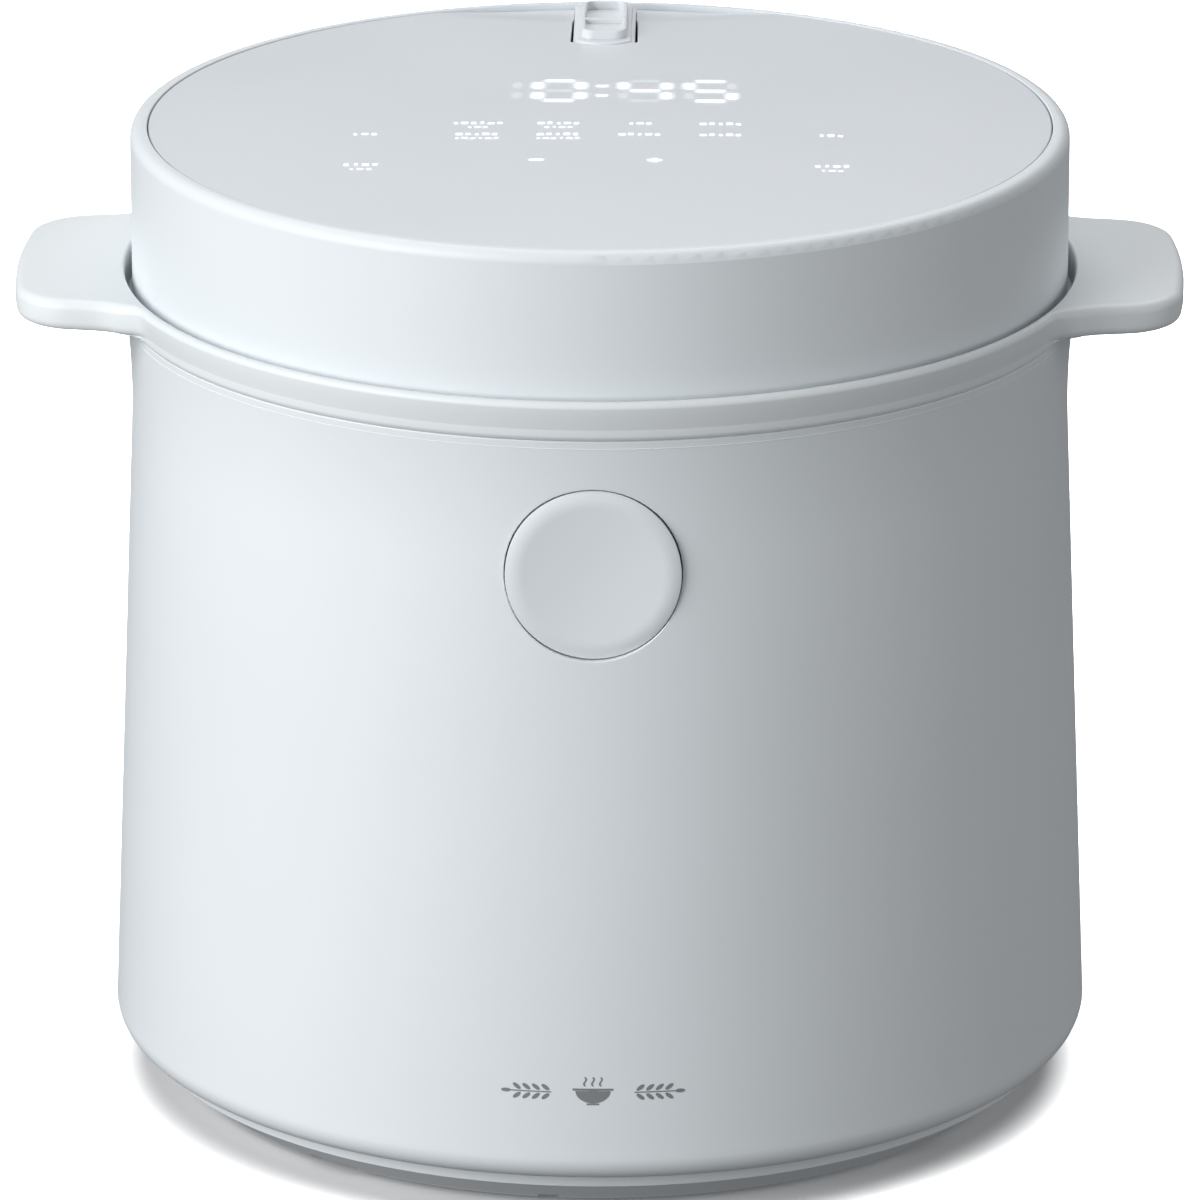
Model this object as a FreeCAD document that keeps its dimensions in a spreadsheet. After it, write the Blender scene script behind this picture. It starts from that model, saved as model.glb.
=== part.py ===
import FreeCAD, Part
import math
import os
import re
import Sketcher
from FreeCAD import Placement, Rotation, Vector

# Rice cooker. Millimetres, +Z up, the feet stand on z = 0, the axis of the round body is x = y = 0,
# and the front, with the lid button, faces -Y.

doc = FreeCAD.newDocument("rice_cooker")
sizes = doc.addObject("Spreadsheet::Sheet", "Sizes")
nodes = []

DIMENSIONS = {
    # round body
    "wall": 2.6, "base_seam_radius": 115.5, "base_seam_z": 11.0, "belly_radius": 121.6, "belly_z": 18.4,
    "waist_radius": 115.6, "waist_z": 168.0, "top_seam_radius": 116.8, "top_seam_z": 197.0,
    "heel_round": 8.0, "flare_round": 160.0, "seam_gap": 0.2,
    # base tray
    "tray_radius": 115.2, "tray_band_z": 7.8, "skid_radius": 106.6, "skid_z": 1.2, "tray_floor_z": 2.4,
    "tray_wall": 2.2, "tray_rim_z": 10.8, "tray_rim_radius": 108.0, "vent_radius": 42.0,
    "vent_length": 34.0, "vent_width": 5.0,
    "foot_radius": 8.0, "foot_depth": 2.6, "foot_circle": 92.0, "foot_sink": 0.2,
    # collar and its two lugs
    "crest_z": 207.0, "crest_radius": 118.0, "collar_face_radius": 119.4, "collar_face_z": 205.3,
    "crest_round": 1.9, "collar_bore": 117.0, "deck_z": 197.9, "deck_under_z": 195.4,
    "ledge_radius": 103.2, "ledge_z": 198.9, "pot_hole": 92.5, "lip_radius": 94.7, "lip_z": 190.0,
    "skirt_radius": 112.6, "skirt_inner": 110.2, "skirt_z": 186.0,
    "lug_corner_x": 142.0, "lug_corner_y": 24.5, "lug_side_x": 128.5, "lug_side_y": 38.5,
    "lug_root_x": 122.0, "lug_root_y": 39.5, "lug_blend_x": 107.0, "lug_blend_y": 50.6,
    "lug_under_z": 199.4, "lug_round": 2.3, "lug_corner_round": 16.0, "lug_tip_round": 219.8,
    "lug_blend_round": 19.8, "lug_heart_x": 96.0,
    "catch_slot_half": 7.5, "catch_slot_front": 104.2, "catch_slot_back": 98.2,
    "nose_room_half": 12.0, "nose_room_front": 118.0, "nose_room_back": 108.0, "nose_room_z": 180.0,
    "collar_screw_circle": 104.7, "collar_screw_hole": 1.25,
    # lid shell and its panel
    "lid_radius": 115.0, "lid_wall": 2.4, "lid_low_z": 199.4, "lid_low_round": 3.5, "lid_lip_radius": 108.0,
    "lid_top_z": 242.3, "lid_top_round": 2.8, "panel_seat_radius": 110.8, "panel_seat_z": 236.4,
    "panel_radius": 110.5, "panel_edge_z": 242.1, "panel_crown_z": 243.2, "panel_thick": 2.2,
    "crown_round": 5550.0, "panel_under_z": 236.6,
    # hinge
    "pin_y": 116.5, "pin_z": 211.0, "pin_radius": 1.5, "pin_bore": 1.56, "ear_radius": 5.0,
    "ear_in": 22.0, "ear_out": 31.0, "ear_room": 5.6, "knuckle_half": 15.0,
    # lid button
    "button_z": 163.4, "button_radius": 20.8, "button_hole": 21.2, "button_face_y": 115.9,
    "button_land": 17.9, "button_bevel": 1.3, "button_depth": 4.6, "button_wall": 1.8,
    "button_dish": 0.9, "stem_radius": 4.0, "stem_bore": 4.05, "stem_shoulder_y": 105.2,
    "stem_end_y": 104.3, "stem_tip": 1.5,
    "guide_half": 27.0, "guide_front_y": 106.6, "guide_back_y": 105.0, "guide_low_z": 147.0,
    "guide_top_z": 175.4, "guide_leg_x": 25.0, "guide_leg_y": 109.4,
    # latch
    "latch_pivot_y": 101.5, "latch_pivot_z": 178.0, "latch_hub": 2.8, "latch_half": 6.5,
    "latch_pin_radius": 1.5, "latch_arm_half": 6.0, "latch_front": 4.1, "latch_inset": 2.1,
    "crank_low": 0.8, "crank_high": 2.6, "nose_z": 188.2, "nose_thick": 2.0,
    "cheek_in": 9.0, "cheek_out": 11.0, "cheek_foot": 18.0, "cheek_front_y": 105.0, "cheek_back_y": 97.1,
    "cheek_low_z": 173.5,
    # casing, plate and pot
    "casing_radius": 96.0, "casing_wall": 0.8, "casing_floor_z": 40.0, "casing_top_z": 189.6,
    "plate_radius": 78.0, "plate_under_z": 50.0, "plate_top_z": 60.0, "plate_hole": 17.0,
    "element_circle": 60.0, "element_radius": 4.3,
    "pot_radius": 90.0, "pot_wall": 1.6, "pot_under_z": 60.3, "pot_rim_z": 200.1, "pot_rim_radius": 96.5,
    "pot_corner": 22.0, "pot_rim_thick": 1.2,
    "sensor_radius": 15.0, "sensor_wall": 0.8, "sensor_top_z": 60.0, "sensor_low_z": 50.0,
    "guide_foot": 26.0, "guide_tube": 8.0, "guide_bore": 5.0,
    # lid inside
    "liner_z": 204.6, "liner_thick": 2.0, "liner_radius": 112.2, "liner_step": 107.4,
    "liner_ring": 99.0, "liner_low_z": 201.2,
    "tongue_half": 6.0, "tongue_front_y": 101.0, "tongue_back_y": 99.0,
    "plate_lid_radius": 93.0, "plate_lid_z": 202.0, "plate_lid_thick": 1.0,
    "gasket_low_z": 200.5, "duct_y": 84.0, "duct_radius": 8.2, "duct_wall": 1.4, "duct_top_z": 232.0,
    # steam cap
    "cap_half": 7.8, "cap_front_y": 68.0, "cap_back_y": 107.0, "cap_low_z": 233.5, "cap_top_z": 245.2,
    "cap_gap": 0.35, "cap_side_gap": 0.75, "cap_bow": 3.5, "cap_deck": 0.9, "cap_wall": 1.4,
    # boards, their parts and the keys
    "board_thick": 1.6, "power_board_z": 13.8, "display_board_z": 222.0,
    # mains inlet
    "inlet_z": 28.0, "inlet_face_y": 118.6, "inlet_wide": 30.0, "inlet_high": 21.0, "inlet_depth": 24.0,
    "mouth_wide": 24.0, "mouth_high": 16.4, "mouth_depth": 17.0, "inlet_play": 0.25,
}

for row, (alias, number) in enumerate(DIMENSIONS.items(), start=1):
    sizes.set(f"A{row}", alias)
    sizes.set(f"B{row}", str(number))
    sizes.setAlias(f"B{row}", alias)
doc.recompute()


def sheet(expression):
    """An expression of cell names, with each name pointed at the sheet."""
    return re.sub(r"[a-z]+(?:_[a-z]+)+|wall", lambda name: "Sizes." + name.group(), str(expression))


def value(expression):
    return float(sizes.evalExpression(str(expression)))


def bind(item, **properties):
    for name, expression in properties.items():
        item.setExpression(name, sheet(expression))


def put(item, at=(0, 0, 0), axis=(0, 0, 1), turn=0):
    """Places an object: turned about an axis, with its corner or centre bound to the sheet."""
    item.Placement = Placement(Vector(*map(value, at)), Rotation(Vector(*axis), turn))
    for letter, expression in zip("xyz", at):
        item.setExpression(f"Placement.Base.{letter}", sheet(expression))
    return item


def node(item, label):
    """Marks a finished sub-part, whose label is the name of its file."""
    item.Label = label
    nodes.append(item)
    return item


# Sketches -----------------------------------------------------------------------------------------

def arc_between(start, end, radius):
    """The short arc from start to end; a positive radius turns left, a negative one turns right."""
    chord = end - start
    half = chord.Length / 2
    side = Vector(-chord.y, chord.x, 0).normalize() * math.copysign(1, radius)
    centre = start + chord * 0.5 + side * math.sqrt(radius * radius - half * half)
    first, last = (start, end) if radius > 0 else (end, start)
    angles = [math.atan2(point.y - centre.y, point.x - centre.x) for point in (first, last)]
    return Part.ArcOfCircle(Part.Circle(centre, Vector(0, 0, 1), abs(radius)), *angles)


def sketch(body, role, corners):
    """A closed sketch on an origin plane. A corner is (x, y) or, where an arc leaves it, (x, y, radius)."""
    plane = next(feature for feature in body.Origin.OriginFeatures if feature.Role == role)
    drawing = body.newObject("Sketcher::SketchObject", "Outline")
    drawing.AttachmentSupport = [(plane, "")]
    drawing.MapMode = "FlatFace"
    points = [Vector(value(corner[0]), value(corner[1]), 0) for corner in corners]
    ends = []
    for index, corner in enumerate(corners):
        start, end = points[index], points[(index + 1) % len(points)]
        if len(corner) == 2:
            drawing.addGeometry(Part.LineSegment(start, end), False)
            ends.append((1, 2))
        else:
            radius = value(corner[2])
            drawing.addGeometry(arc_between(start, end, radius), False)
            ends.append((1, 2) if radius > 0 else (2, 1))
    for index, corner in enumerate(corners):
        after = (index + 1) % len(corners)
        drawing.addConstraint(Sketcher.Constraint("Coincident", index, ends[index][1], after, ends[after][0]))
        for kind, expression in (("DistanceX", corner[0]), ("DistanceY", corner[1])):
            number = drawing.addConstraint(
                Sketcher.Constraint(kind, -1, 1, index, ends[index][0], value(expression)))
            drawing.setExpression(f"Constraints[{number}]", sheet(expression))
        if len(corner) == 3:
            radius = drawing.addConstraint(Sketcher.Constraint("Radius", index, abs(value(corner[2]))))
            drawing.setExpression(f"Constraints[{radius}]", f"abs({sheet(corner[2])})")
    return drawing


def turned(corners):
    """A body turned about its own Z axis from an outline of radius and height."""
    body = doc.addObject("PartDesign::Body", "Turned")
    drawing = sketch(body, "XZ_Plane", corners)
    revolution = body.newObject("PartDesign::Revolution", "Revolution")
    revolution.Profile = drawing
    revolution.ReferenceAxis = (drawing, ["V_Axis"])
    revolution.Angle = 360
    return body


def padded(corners, height, role="XY_Plane"):
    """A body padded up from an outline."""
    body = doc.addObject("PartDesign::Body", "Padded")
    pad = body.newObject("PartDesign::Pad", "Pad")
    pad.Profile = sketch(body, role, corners)
    bind(pad, Length=height)
    return body


# Plain solids and booleans ------------------------------------------------------------------------

def box(x_range, y_range, z_range):
    """A block between two corners, each range a pair of expressions."""
    item = doc.addObject("Part::Box", "Block")
    for name, (low, high) in zip(("Length", "Width", "Height"), (x_range, y_range, z_range)):
        item.setExpression(name, sheet(f"({high}) - ({low})"))
    return put(item, [low for low, high in (x_range, y_range, z_range)])


AXIS_TURNS = {"x": ((0, 1, 0), 90), "y": ((1, 0, 0), -90), "z": ((0, 0, 1), 0)}


def rod(radius, length, at, along="z"):
    """A cylinder that starts at a point and runs along +x, +y or +z."""
    item = doc.addObject("Part::Cylinder", "Rod")
    bind(item, Radius=radius, Height=length)
    axis, turn = AXIS_TURNS[along]
    return put(item, at, axis, turn)


def tube(outer, inner, length, at, along="z"):
    spare = 1
    start = list(at)
    letter = "xyz".index(along)
    start[letter] = f"{at[letter]} - {spare}"
    return cut(rod(outer, length, at, along), rod(inner, f"{length} + {2 * spare}", start, along))


def ring(circle, radius, at):
    item = doc.addObject("Part::Torus", "Ring")
    bind(item, Radius1=circle, Radius2=radius)
    return put(item, at)


def fuse(*items):
    item = doc.addObject("Part::MultiFuse", "Joined")
    item.Shapes = list(items)
    return item


def group(*items):
    item = doc.addObject("Part::Compound", "Set")
    item.Links = list(items)
    return item


def cut(base, *tools):
    item = doc.addObject("Part::Cut", "Hollowed")
    item.Base = base
    item.Tool = tools[0] if len(tools) == 1 else fuse(*tools)
    return item


def common(base, tool):
    item = doc.addObject("Part::Common", "Shared")
    item.Base = base
    item.Tool = tool
    return item


def coil(radius, wire, pitch, turns, at, along="z"):
    """A wire spring that starts at a point and rises along an axis, swept one turn at a time."""
    helix = doc.addObject("Part::Helix", "Helix")
    helix.SegmentLength = 1
    bind(helix, Radius=radius, Pitch=pitch, Height=f"{pitch} * {turns}")
    doc.recompute()
    section = doc.addObject("Part::Circle", "Wire")
    bind(section, Radius=f"{wire} / 2")
    put(section, (radius, 0, 0), (1, 0, 0), 90)
    item = doc.addObject("Part::Sweep", "Coil")
    item.Sections = [section]
    item.Spine = (helix, [f"Edge{number}" for number in range(1, len(helix.Shape.Edges) + 1)])
    item.Solid = True
    item.Frenet = True
    axis, turn = AXIS_TURNS[along]
    return put(item, at, axis, turn)


def screw(at, length, head=3.0, shank=1.4, up=True):
    """A pan-head screw whose head seats at a point, with its shank above or below."""
    x, y, z = at
    head_high = 1.6
    shank_z = z if up else f"{z} - {length}"
    head_z = f"{z} - {head_high}" if up else z
    slot_z = f"{head_z} - 0.1" if up else f"{z} + {head_high} - 0.6"
    blank = fuse(rod(head, head_high, (x, y, head_z)), rod(shank, length, (x, y, shank_z)))
    slots = [box((f"{x} - {a}", f"{x} + {a}"), (f"{y} - {b}", f"{y} + {b}"), (slot_z, f"{slot_z} + 0.7"))
             for a, b in ((1.7, 0.3), (0.3, 1.7))]
    return cut(blank, *slots)


def around(radius, degrees):
    """A point on a circle about the body's axis, 0 degrees at the front and 90 at +X."""
    angle = math.radians(degrees)
    return f"({radius}) * {math.sin(angle):.6f}", f"({radius}) * {-math.cos(angle):.6f}"


# Places of the parts that repeat, in degrees round the body or as (x, y) --------------------------

SCREW_ANGLES = (0, 90, 180, 270)
FOOT_ANGLES = (45, 135, 225, 315)
COLLAR_SCREW_ANGLES = (35, 145, 215, 325)
SKID_NOTCHES = ((-6, 5), (174, 5), (-37, 14), (49, 14), (143, 14), (229, 14))
BOARD_POSTS = [(x, y) for x in (-42, 42) for y in (-30, 24)]
LID_POSTS = [(x, y) for x in (-60, 60) for y in (-52, 42)]
TOUCH_KEYS = [(x, y) for x in (-57, 56) for y in (-43, -16)] + [(-15, -38), (14, -38)]
ELEMENT_TAILS = (-7, 7)


# Outer shell: a tapered wall with a flange turned in at the bottom --------------------------------

def outer_shell():
    wall = turned([
        ("base_seam_radius - 7", "base_seam_z"),
        ("base_seam_radius", "base_seam_z", "heel_round"),
        ("belly_radius", "belly_z"),
        ("waist_radius", "waist_z", "-flare_round"),
        ("top_seam_radius", "top_seam_z"),
        ("top_seam_radius - wall", "top_seam_z", "flare_round + wall"),
        ("waist_radius - wall", "waist_z"),
        ("belly_radius - wall", "belly_z + 1"),
        ("base_seam_radius - 1.5", "base_seam_z + wall"),
        ("base_seam_radius - 7", "base_seam_z + wall"),
    ])
    button_hole = rod("button_hole", 30, (0, "-belly_radius - 4", "button_z"), "y")
    window = box(("-inlet_wide / 2 - inlet_play", "inlet_wide / 2 + inlet_play"), (100, 130),
                 ("inlet_z - inlet_high / 2 - inlet_play", "inlet_z + inlet_high / 2 + inlet_play"))
    return node(cut(wall, button_hole, window), "outer_shell")


# Collar: the ring between body and lid, with two lug handles and the hinge ears -------------------

def lug(side):
    """One lug handle, drawn at +X and turned half a circle for the other side."""
    def half(sign):
        rows = [("lug_blend_x", "lug_blend_y"), ("lug_root_x", "lug_root_y"),
                ("lug_side_x", "lug_side_y"), ("lug_corner_x", "lug_corner_y")]
        return [(x, f"{sign}{y}") for x, y in rows]

    blend_low, root_low, side_low, corner_low = half("-")
    blend_high, root_high, side_high, corner_high = half("")
    body = padded([
        ("lug_heart_x", "-lug_blend_y"),
        (*blend_low, "-lug_blend_round"),
        root_low,
        (*side_low, "lug_corner_round"),
        (*corner_low, "lug_tip_round"),
        (*corner_high, "lug_corner_round"),
        side_high,
        (*root_high, "-lug_blend_round"),
        blend_high,
        ("lug_heart_x", "lug_blend_y"),
    ], "crest_z - lug_under_z")
    doc.recompute()
    pad = body.Tip
    edges = [f"Edge{number}" for number, edge in enumerate(pad.Shape.Edges, start=1)
             if edge.BoundBox.ZLength < 0.01 and edge.BoundBox.XMax > value("lug_blend_x") + 1]
    rounding = body.newObject("PartDesign::Fillet", "Rounding")
    rounding.Base = (pad, edges)
    bind(rounding, Radius="lug_round")
    body.Tip = rounding
    put(body, (0, 0, "lug_under_z"), (0, 0, 1), 0 if side > 0 else 180)
    return body


def collar():
    profile = turned([
        ("skirt_inner", "skirt_z"),
        ("skirt_radius", "skirt_z"),
        ("skirt_radius", "top_seam_z + seam_gap"),
        ("top_seam_radius + 0.4", "top_seam_z + seam_gap"),
        ("collar_face_radius", "collar_face_z", "crest_round"),
        ("crest_radius", "crest_z"),
        ("crest_radius - 0.4", "crest_z", "crest_round / 2"),
        ("collar_bore", "crest_z - 0.8"),
        ("collar_bore - 0.5", "deck_z"),
        ("ledge_radius + 0.8", "deck_z"),
        ("ledge_radius", "ledge_z"),
        ("pot_hole", "ledge_z"),
        ("pot_hole", "lip_z"),
        ("lip_radius", "lip_z"),
        ("lip_radius", "deck_under_z"),
        ("skirt_inner", "deck_under_z"),
    ])
    through = 40
    bore = rod("collar_bore + 0.4", through, (0, 0, "skirt_z"))
    lugs = [cut(lug(side), bore) for side in (1, -1)]
    ears = []
    bosses = []
    for low, high in (("ear_in", "ear_out"), ("-ear_out", "-ear_in")):
        ears.append(rod("ear_radius", f"({high}) - ({low})", (low, "pin_y", "pin_z"), "x"))
        bosses.append(box((low, high), ("collar_bore - 1", "pin_y + ear_radius"), ("ledge_z - 0.5", "pin_z")))
    drum = rod("pin_y + ear_radius", through, (0, 0, "skirt_z"))
    posts = [common(boss, drum) for boss in bosses]
    knuckle_room = rod("ear_room", "2 * knuckle_half + 0.8", ("-knuckle_half - 0.4", "pin_y", "pin_z"), "x")
    pin_hole = rod("pin_radius + 0.02", "2 * ear_out + 2", ("-ear_out - 1", "pin_y", "pin_z"), "x")
    catch_slot = box(("-catch_slot_half", "catch_slot_half"), ("-catch_slot_front", "-catch_slot_back"),
                     ("lip_z", "ledge_z + 1"))
    nose_room = box(("-nose_room_half", "nose_room_half"), ("-nose_room_front", "-nose_room_back"),
                    ("nose_room_z", "deck_under_z - 0.2"))
    hole_z = "deck_under_z - 0.2"
    screw_holes = [rod("collar_screw_hole", 2.2, (*around("collar_screw_circle", degrees), hole_z))
                   for degrees in COLLAR_SCREW_ANGLES]
    whole = fuse(profile, *lugs, *ears, *posts)
    return node(cut(whole, knuckle_room, pin_hole, catch_slot, nose_room, *screw_holes), "collar")


# Base tray, feet, label plate and screws ----------------------------------------------------------

def base_tray():
    pan = turned([
        (0, "tray_floor_z"),
        ("skid_radius - 5", "tray_floor_z"),
        ("skid_radius - 4.4", "skid_z"),
        ("skid_radius - 0.8", "skid_z"),
        ("skid_radius", "skid_z + 0.7"),
        ("tray_radius - 0.6", "tray_band_z"),
        ("tray_radius", "tray_rim_z"),
        ("tray_rim_radius", "tray_rim_z"),
        ("tray_rim_radius", "tray_rim_z - tray_wall"),
        ("tray_radius - 1.2 * tray_wall", "tray_rim_z - tray_wall"),
        ("skid_radius - 1.2 * tray_wall", "tray_floor_z + tray_wall"),
        (0, "tray_floor_z + tray_wall"),
    ])
    vents = []
    for degrees in range(15, 375, 30):
        item = box((0, "vent_length"), ("-vent_width / 2", "vent_width / 2"), (0, 9))
        angle = math.radians(degrees)
        put(item, (f"vent_radius * {math.cos(angle):.6f}", f"vent_radius * {math.sin(angle):.6f}", 0),
            (0, 0, 1), degrees)
        vents.append(item)
    for degrees, width in SKID_NOTCHES:
        item = box((0, 14), (f"-{width} / 2", f"{width} / 2"), (0, "tray_floor_z - 0.1"))
        angle = math.radians(degrees - 90)
        corner = Vector(98, -width / 2, 0)
        x = corner.x * math.cos(angle) - corner.y * math.sin(angle)
        y = corner.x * math.sin(angle) + corner.y * math.cos(angle)
        vents.append(put(item, (round(x, 4), round(y, 4), 0), (0, 0, 1), degrees - 90))
    posts = [rod(3.2, 10.2, (x, y, "tray_floor_z + 1")) for x, y in BOARD_POSTS]
    holes = [rod(1.7, 12, (*around("foot_circle", degrees), 0)) for degrees in SCREW_ANGLES]
    return node(cut(fuse(pan, *posts), *vents, *holes), "base_tray")


def rubber_feet():
    pads = []
    for degrees in FOOT_ANGLES:
        pad = turned([
            (0, 0),
            ("foot_radius - 0.8", 0, "0.9"),
            ("foot_radius", "0.8"),
            ("foot_radius", "foot_depth - foot_sink - 0.1"),
            (0, "foot_depth - foot_sink - 0.1"),
        ])
        pads.append(put(pad, (*around("foot_circle", degrees), 0)))
    return node(group(*pads), "rubber_feet")


def base_screws():
    screws = [screw((*around("foot_circle", degrees), "tray_floor_z - 0.1"), 6)
              for degrees in SCREW_ANGLES]
    return node(group(*screws), "base_screws")


def collar_screws():
    screws = [screw((*around("collar_screw_circle", degrees), "deck_under_z - 0.1"), 1.8, 2.6, 1.2)
              for degrees in COLLAR_SCREW_ANGLES]
    return node(group(*screws), "collar_screws")


def rating_plate():
    return node(box((-25, 25), (-80, -55), ("tray_floor_z - 0.4", "tray_floor_z - 0.05")), "rating_plate")


# Inner casing, heater and pot ---------------------------------------------------------------------

def inner_casing():
    holes = [rod("element_radius * 0.6 + 0.6", 6, (x, 60, "casing_floor_z - 2")) for x in ELEMENT_TAILS]
    drum = turned([
        (20, "casing_floor_z"),
        ("casing_radius", "casing_floor_z"),
        ("casing_radius", "casing_top_z"),
        ("casing_radius - casing_wall", "casing_top_z"),
        ("casing_radius - casing_wall", "casing_floor_z + casing_wall"),
        (20, "casing_floor_z + casing_wall"),
    ])
    return node(cut(drum, *holes), "inner_casing")


def heating_plate():
    disc = turned([
        ("plate_hole", "plate_under_z"),
        ("plate_radius - 4", "plate_under_z", "10"),
        ("plate_radius", "plate_top_z - 4"),
        ("plate_radius - 2", "plate_top_z"),
        ("plate_hole", "plate_top_z"),
    ])
    return node(disc, "heating_plate")


def heating_element():
    loop = ring("element_circle", "element_radius", (0, 0, "plate_under_z - element_radius - 0.2"))
    tails = [rod("element_radius * 0.6", 8, (x, 60, "plate_under_z - element_radius - 9"))
             for x in ELEMENT_TAILS]
    return node(fuse(loop, *tails), "heating_element")


def plate_supports():
    posts = [rod(3.5, "plate_under_z - casing_floor_z - casing_wall - 0.4",
                 (*around(40, degrees), "casing_floor_z + casing_wall + 0.2")) for degrees in (60, 180, 300)]
    return node(group(*posts), "plate_supports")


def band_heater():
    band = tube("casing_radius + 1.5", "casing_radius + 0.2", 34, (0, 0, 112))
    lead_gap = box((88, 104), (-3, 3), (100, 150))
    return node(cut(band, lead_gap), "band_heater")


def inner_pot():
    vessel = turned([
        (0, "pot_under_z"),
        ("pot_radius - pot_corner", "pot_under_z", "pot_corner"),
        ("pot_radius", "pot_under_z + pot_corner"),
        ("pot_radius", "pot_rim_z - pot_rim_thick - 1"),
        ("pot_radius + 1.4", "pot_rim_z - pot_rim_thick + 0.2"),
        ("pot_rim_radius", "pot_rim_z - pot_rim_thick + 0.2", "0.7"),
        ("pot_rim_radius", "pot_rim_z"),
        ("pot_radius - pot_wall + 1.4", "pot_rim_z", "1.5"),
        ("pot_radius - pot_wall", "pot_rim_z - 1.4"),
        ("pot_radius - pot_wall", "pot_under_z + pot_corner", "pot_wall - pot_corner"),
        ("pot_radius - pot_corner", "pot_under_z + pot_wall"),
        (0, "pot_under_z + pot_wall"),
    ])
    return node(vessel, "inner_pot")


def sensor():
    cup = turned([
        (0, "sensor_top_z - sensor_wall"),
        ("sensor_radius - sensor_wall", "sensor_top_z - sensor_wall"),
        ("sensor_radius - sensor_wall", "sensor_low_z"),
        ("sensor_radius", "sensor_low_z"),
        ("sensor_radius", "sensor_top_z - 1", "1"),
        ("sensor_radius - 1", "sensor_top_z"),
        (0, "sensor_top_z"),
    ])
    node(cup, "sensor_cup")
    guide = turned([
        ("guide_bore", "casing_floor_z + casing_wall + 0.2"),
        ("guide_foot", "casing_floor_z + casing_wall + 0.2"),
        ("guide_foot", "casing_floor_z + casing_wall + 1.4"),
        ("guide_tube", "casing_floor_z + casing_wall + 1.4"),
        ("guide_tube", "sensor_top_z - 6"),
        ("guide_bore", "sensor_top_z - 6"),
    ])
    node(guide, "sensor_guide")
    spring = coil("guide_tube + 1", 1.0, 3.0, 5, (0, 0, "casing_floor_z + casing_wall + 2.0"))
    node(spring, "sensor_spring")


# Electrics in the base ----------------------------------------------------------------------------

def electrics():
    board = box((-50, 50), (-38, 32), ("power_board_z", "power_board_z + board_thick"))
    holes = [rod(1.6, 6, (x, y, "power_board_z - 2")) for x, y in BOARD_POSTS]
    node(cut(board, *holes), "power_board")
    seat = "power_board_z + board_thick + 0.1"
    core = box((-36, -6), (-26, 6), (seat, f"{seat} + 17"))
    winding = rod(11, 17.5, (-21, -10, f"{seat} + 1.5"))
    node(fuse(core, winding), "transformer")
    node(box((6, 25), (-24, -8), (seat, f"{seat} + 15")), "relay")
    cans = [rod(radius, high, (x, y, seat)) for radius, high, x, y in
            ((5, 15, 32, 2), (4, 12, 20, 4), (4, 12, 30, 14))]
    node(group(*cans), "capacitors")
    fuse_y, fuse_z = 20, f"{seat} + 3"
    glass = rod(2.6, 20, (-10, fuse_y, fuse_z), "x")
    caps = [rod(3, 4, (x, fuse_y, fuse_z), "x") for x in (-12, 8)]
    node(fuse(glass, *caps), "fuse")


def rounded_path(points, bend):
    """Straight runs through the points, with a tangent arc at each inner one."""
    edges = []
    here = points[0]
    for before, point, after in zip(points, points[1:], points[2:]):
        back = (before - point).normalize()
        ahead = (after - point).normalize()
        half_turn = (math.pi - back.getAngle(ahead)) / 2
        room = min((before - point).Length, (after - point).Length) * 0.45
        reach = min(room, bend * math.tan(half_turn))
        radius = reach / math.tan(half_turn)
        enter = point + back * reach
        leave = point + ahead * reach
        inward = (back + ahead).normalize()
        middle = point + inward * (radius / math.cos(half_turn) - radius)
        edges.append(Part.LineSegment(here, enter).toShape())
        edges.append(Part.Arc(enter, middle, leave).toShape())
        here = leave
    edges.append(Part.LineSegment(here, points[-1]).toShape())
    return Part.Wire(edges)


def wiring():
    """Three leads from the inlet's tags to the board, each straight runs joined by tangent arcs."""
    bend, wire_radius = 7, 1.2
    tag_z, lay_z, board_top = value("inlet_z"), 22.0, value("power_board_z + board_thick + 1")
    leads = []
    for x, end_x in ((-7, -30), (0, -24), (7, -18)):
        start = Vector(x, value("inlet_face_y - inlet_depth") - 2.3, tag_z)
        corner = Vector(x, 84, tag_z)
        middle = Vector((x + end_x) / 2, 60, lay_z)
        over = Vector(end_x, 36, lay_z)
        finish = Vector(end_x, 28, board_top)
        path = rounded_path([start, corner, middle, over, finish], bend)
        profile = Part.Wire(Part.makeCircle(wire_radius, start, corner - start))
        lead = doc.addObject("Part::Feature", "Lead")
        lead.Shape = path.makePipeShell([profile], True, True)
        leads.append(lead)
    node(group(*leads), "wiring")


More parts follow.
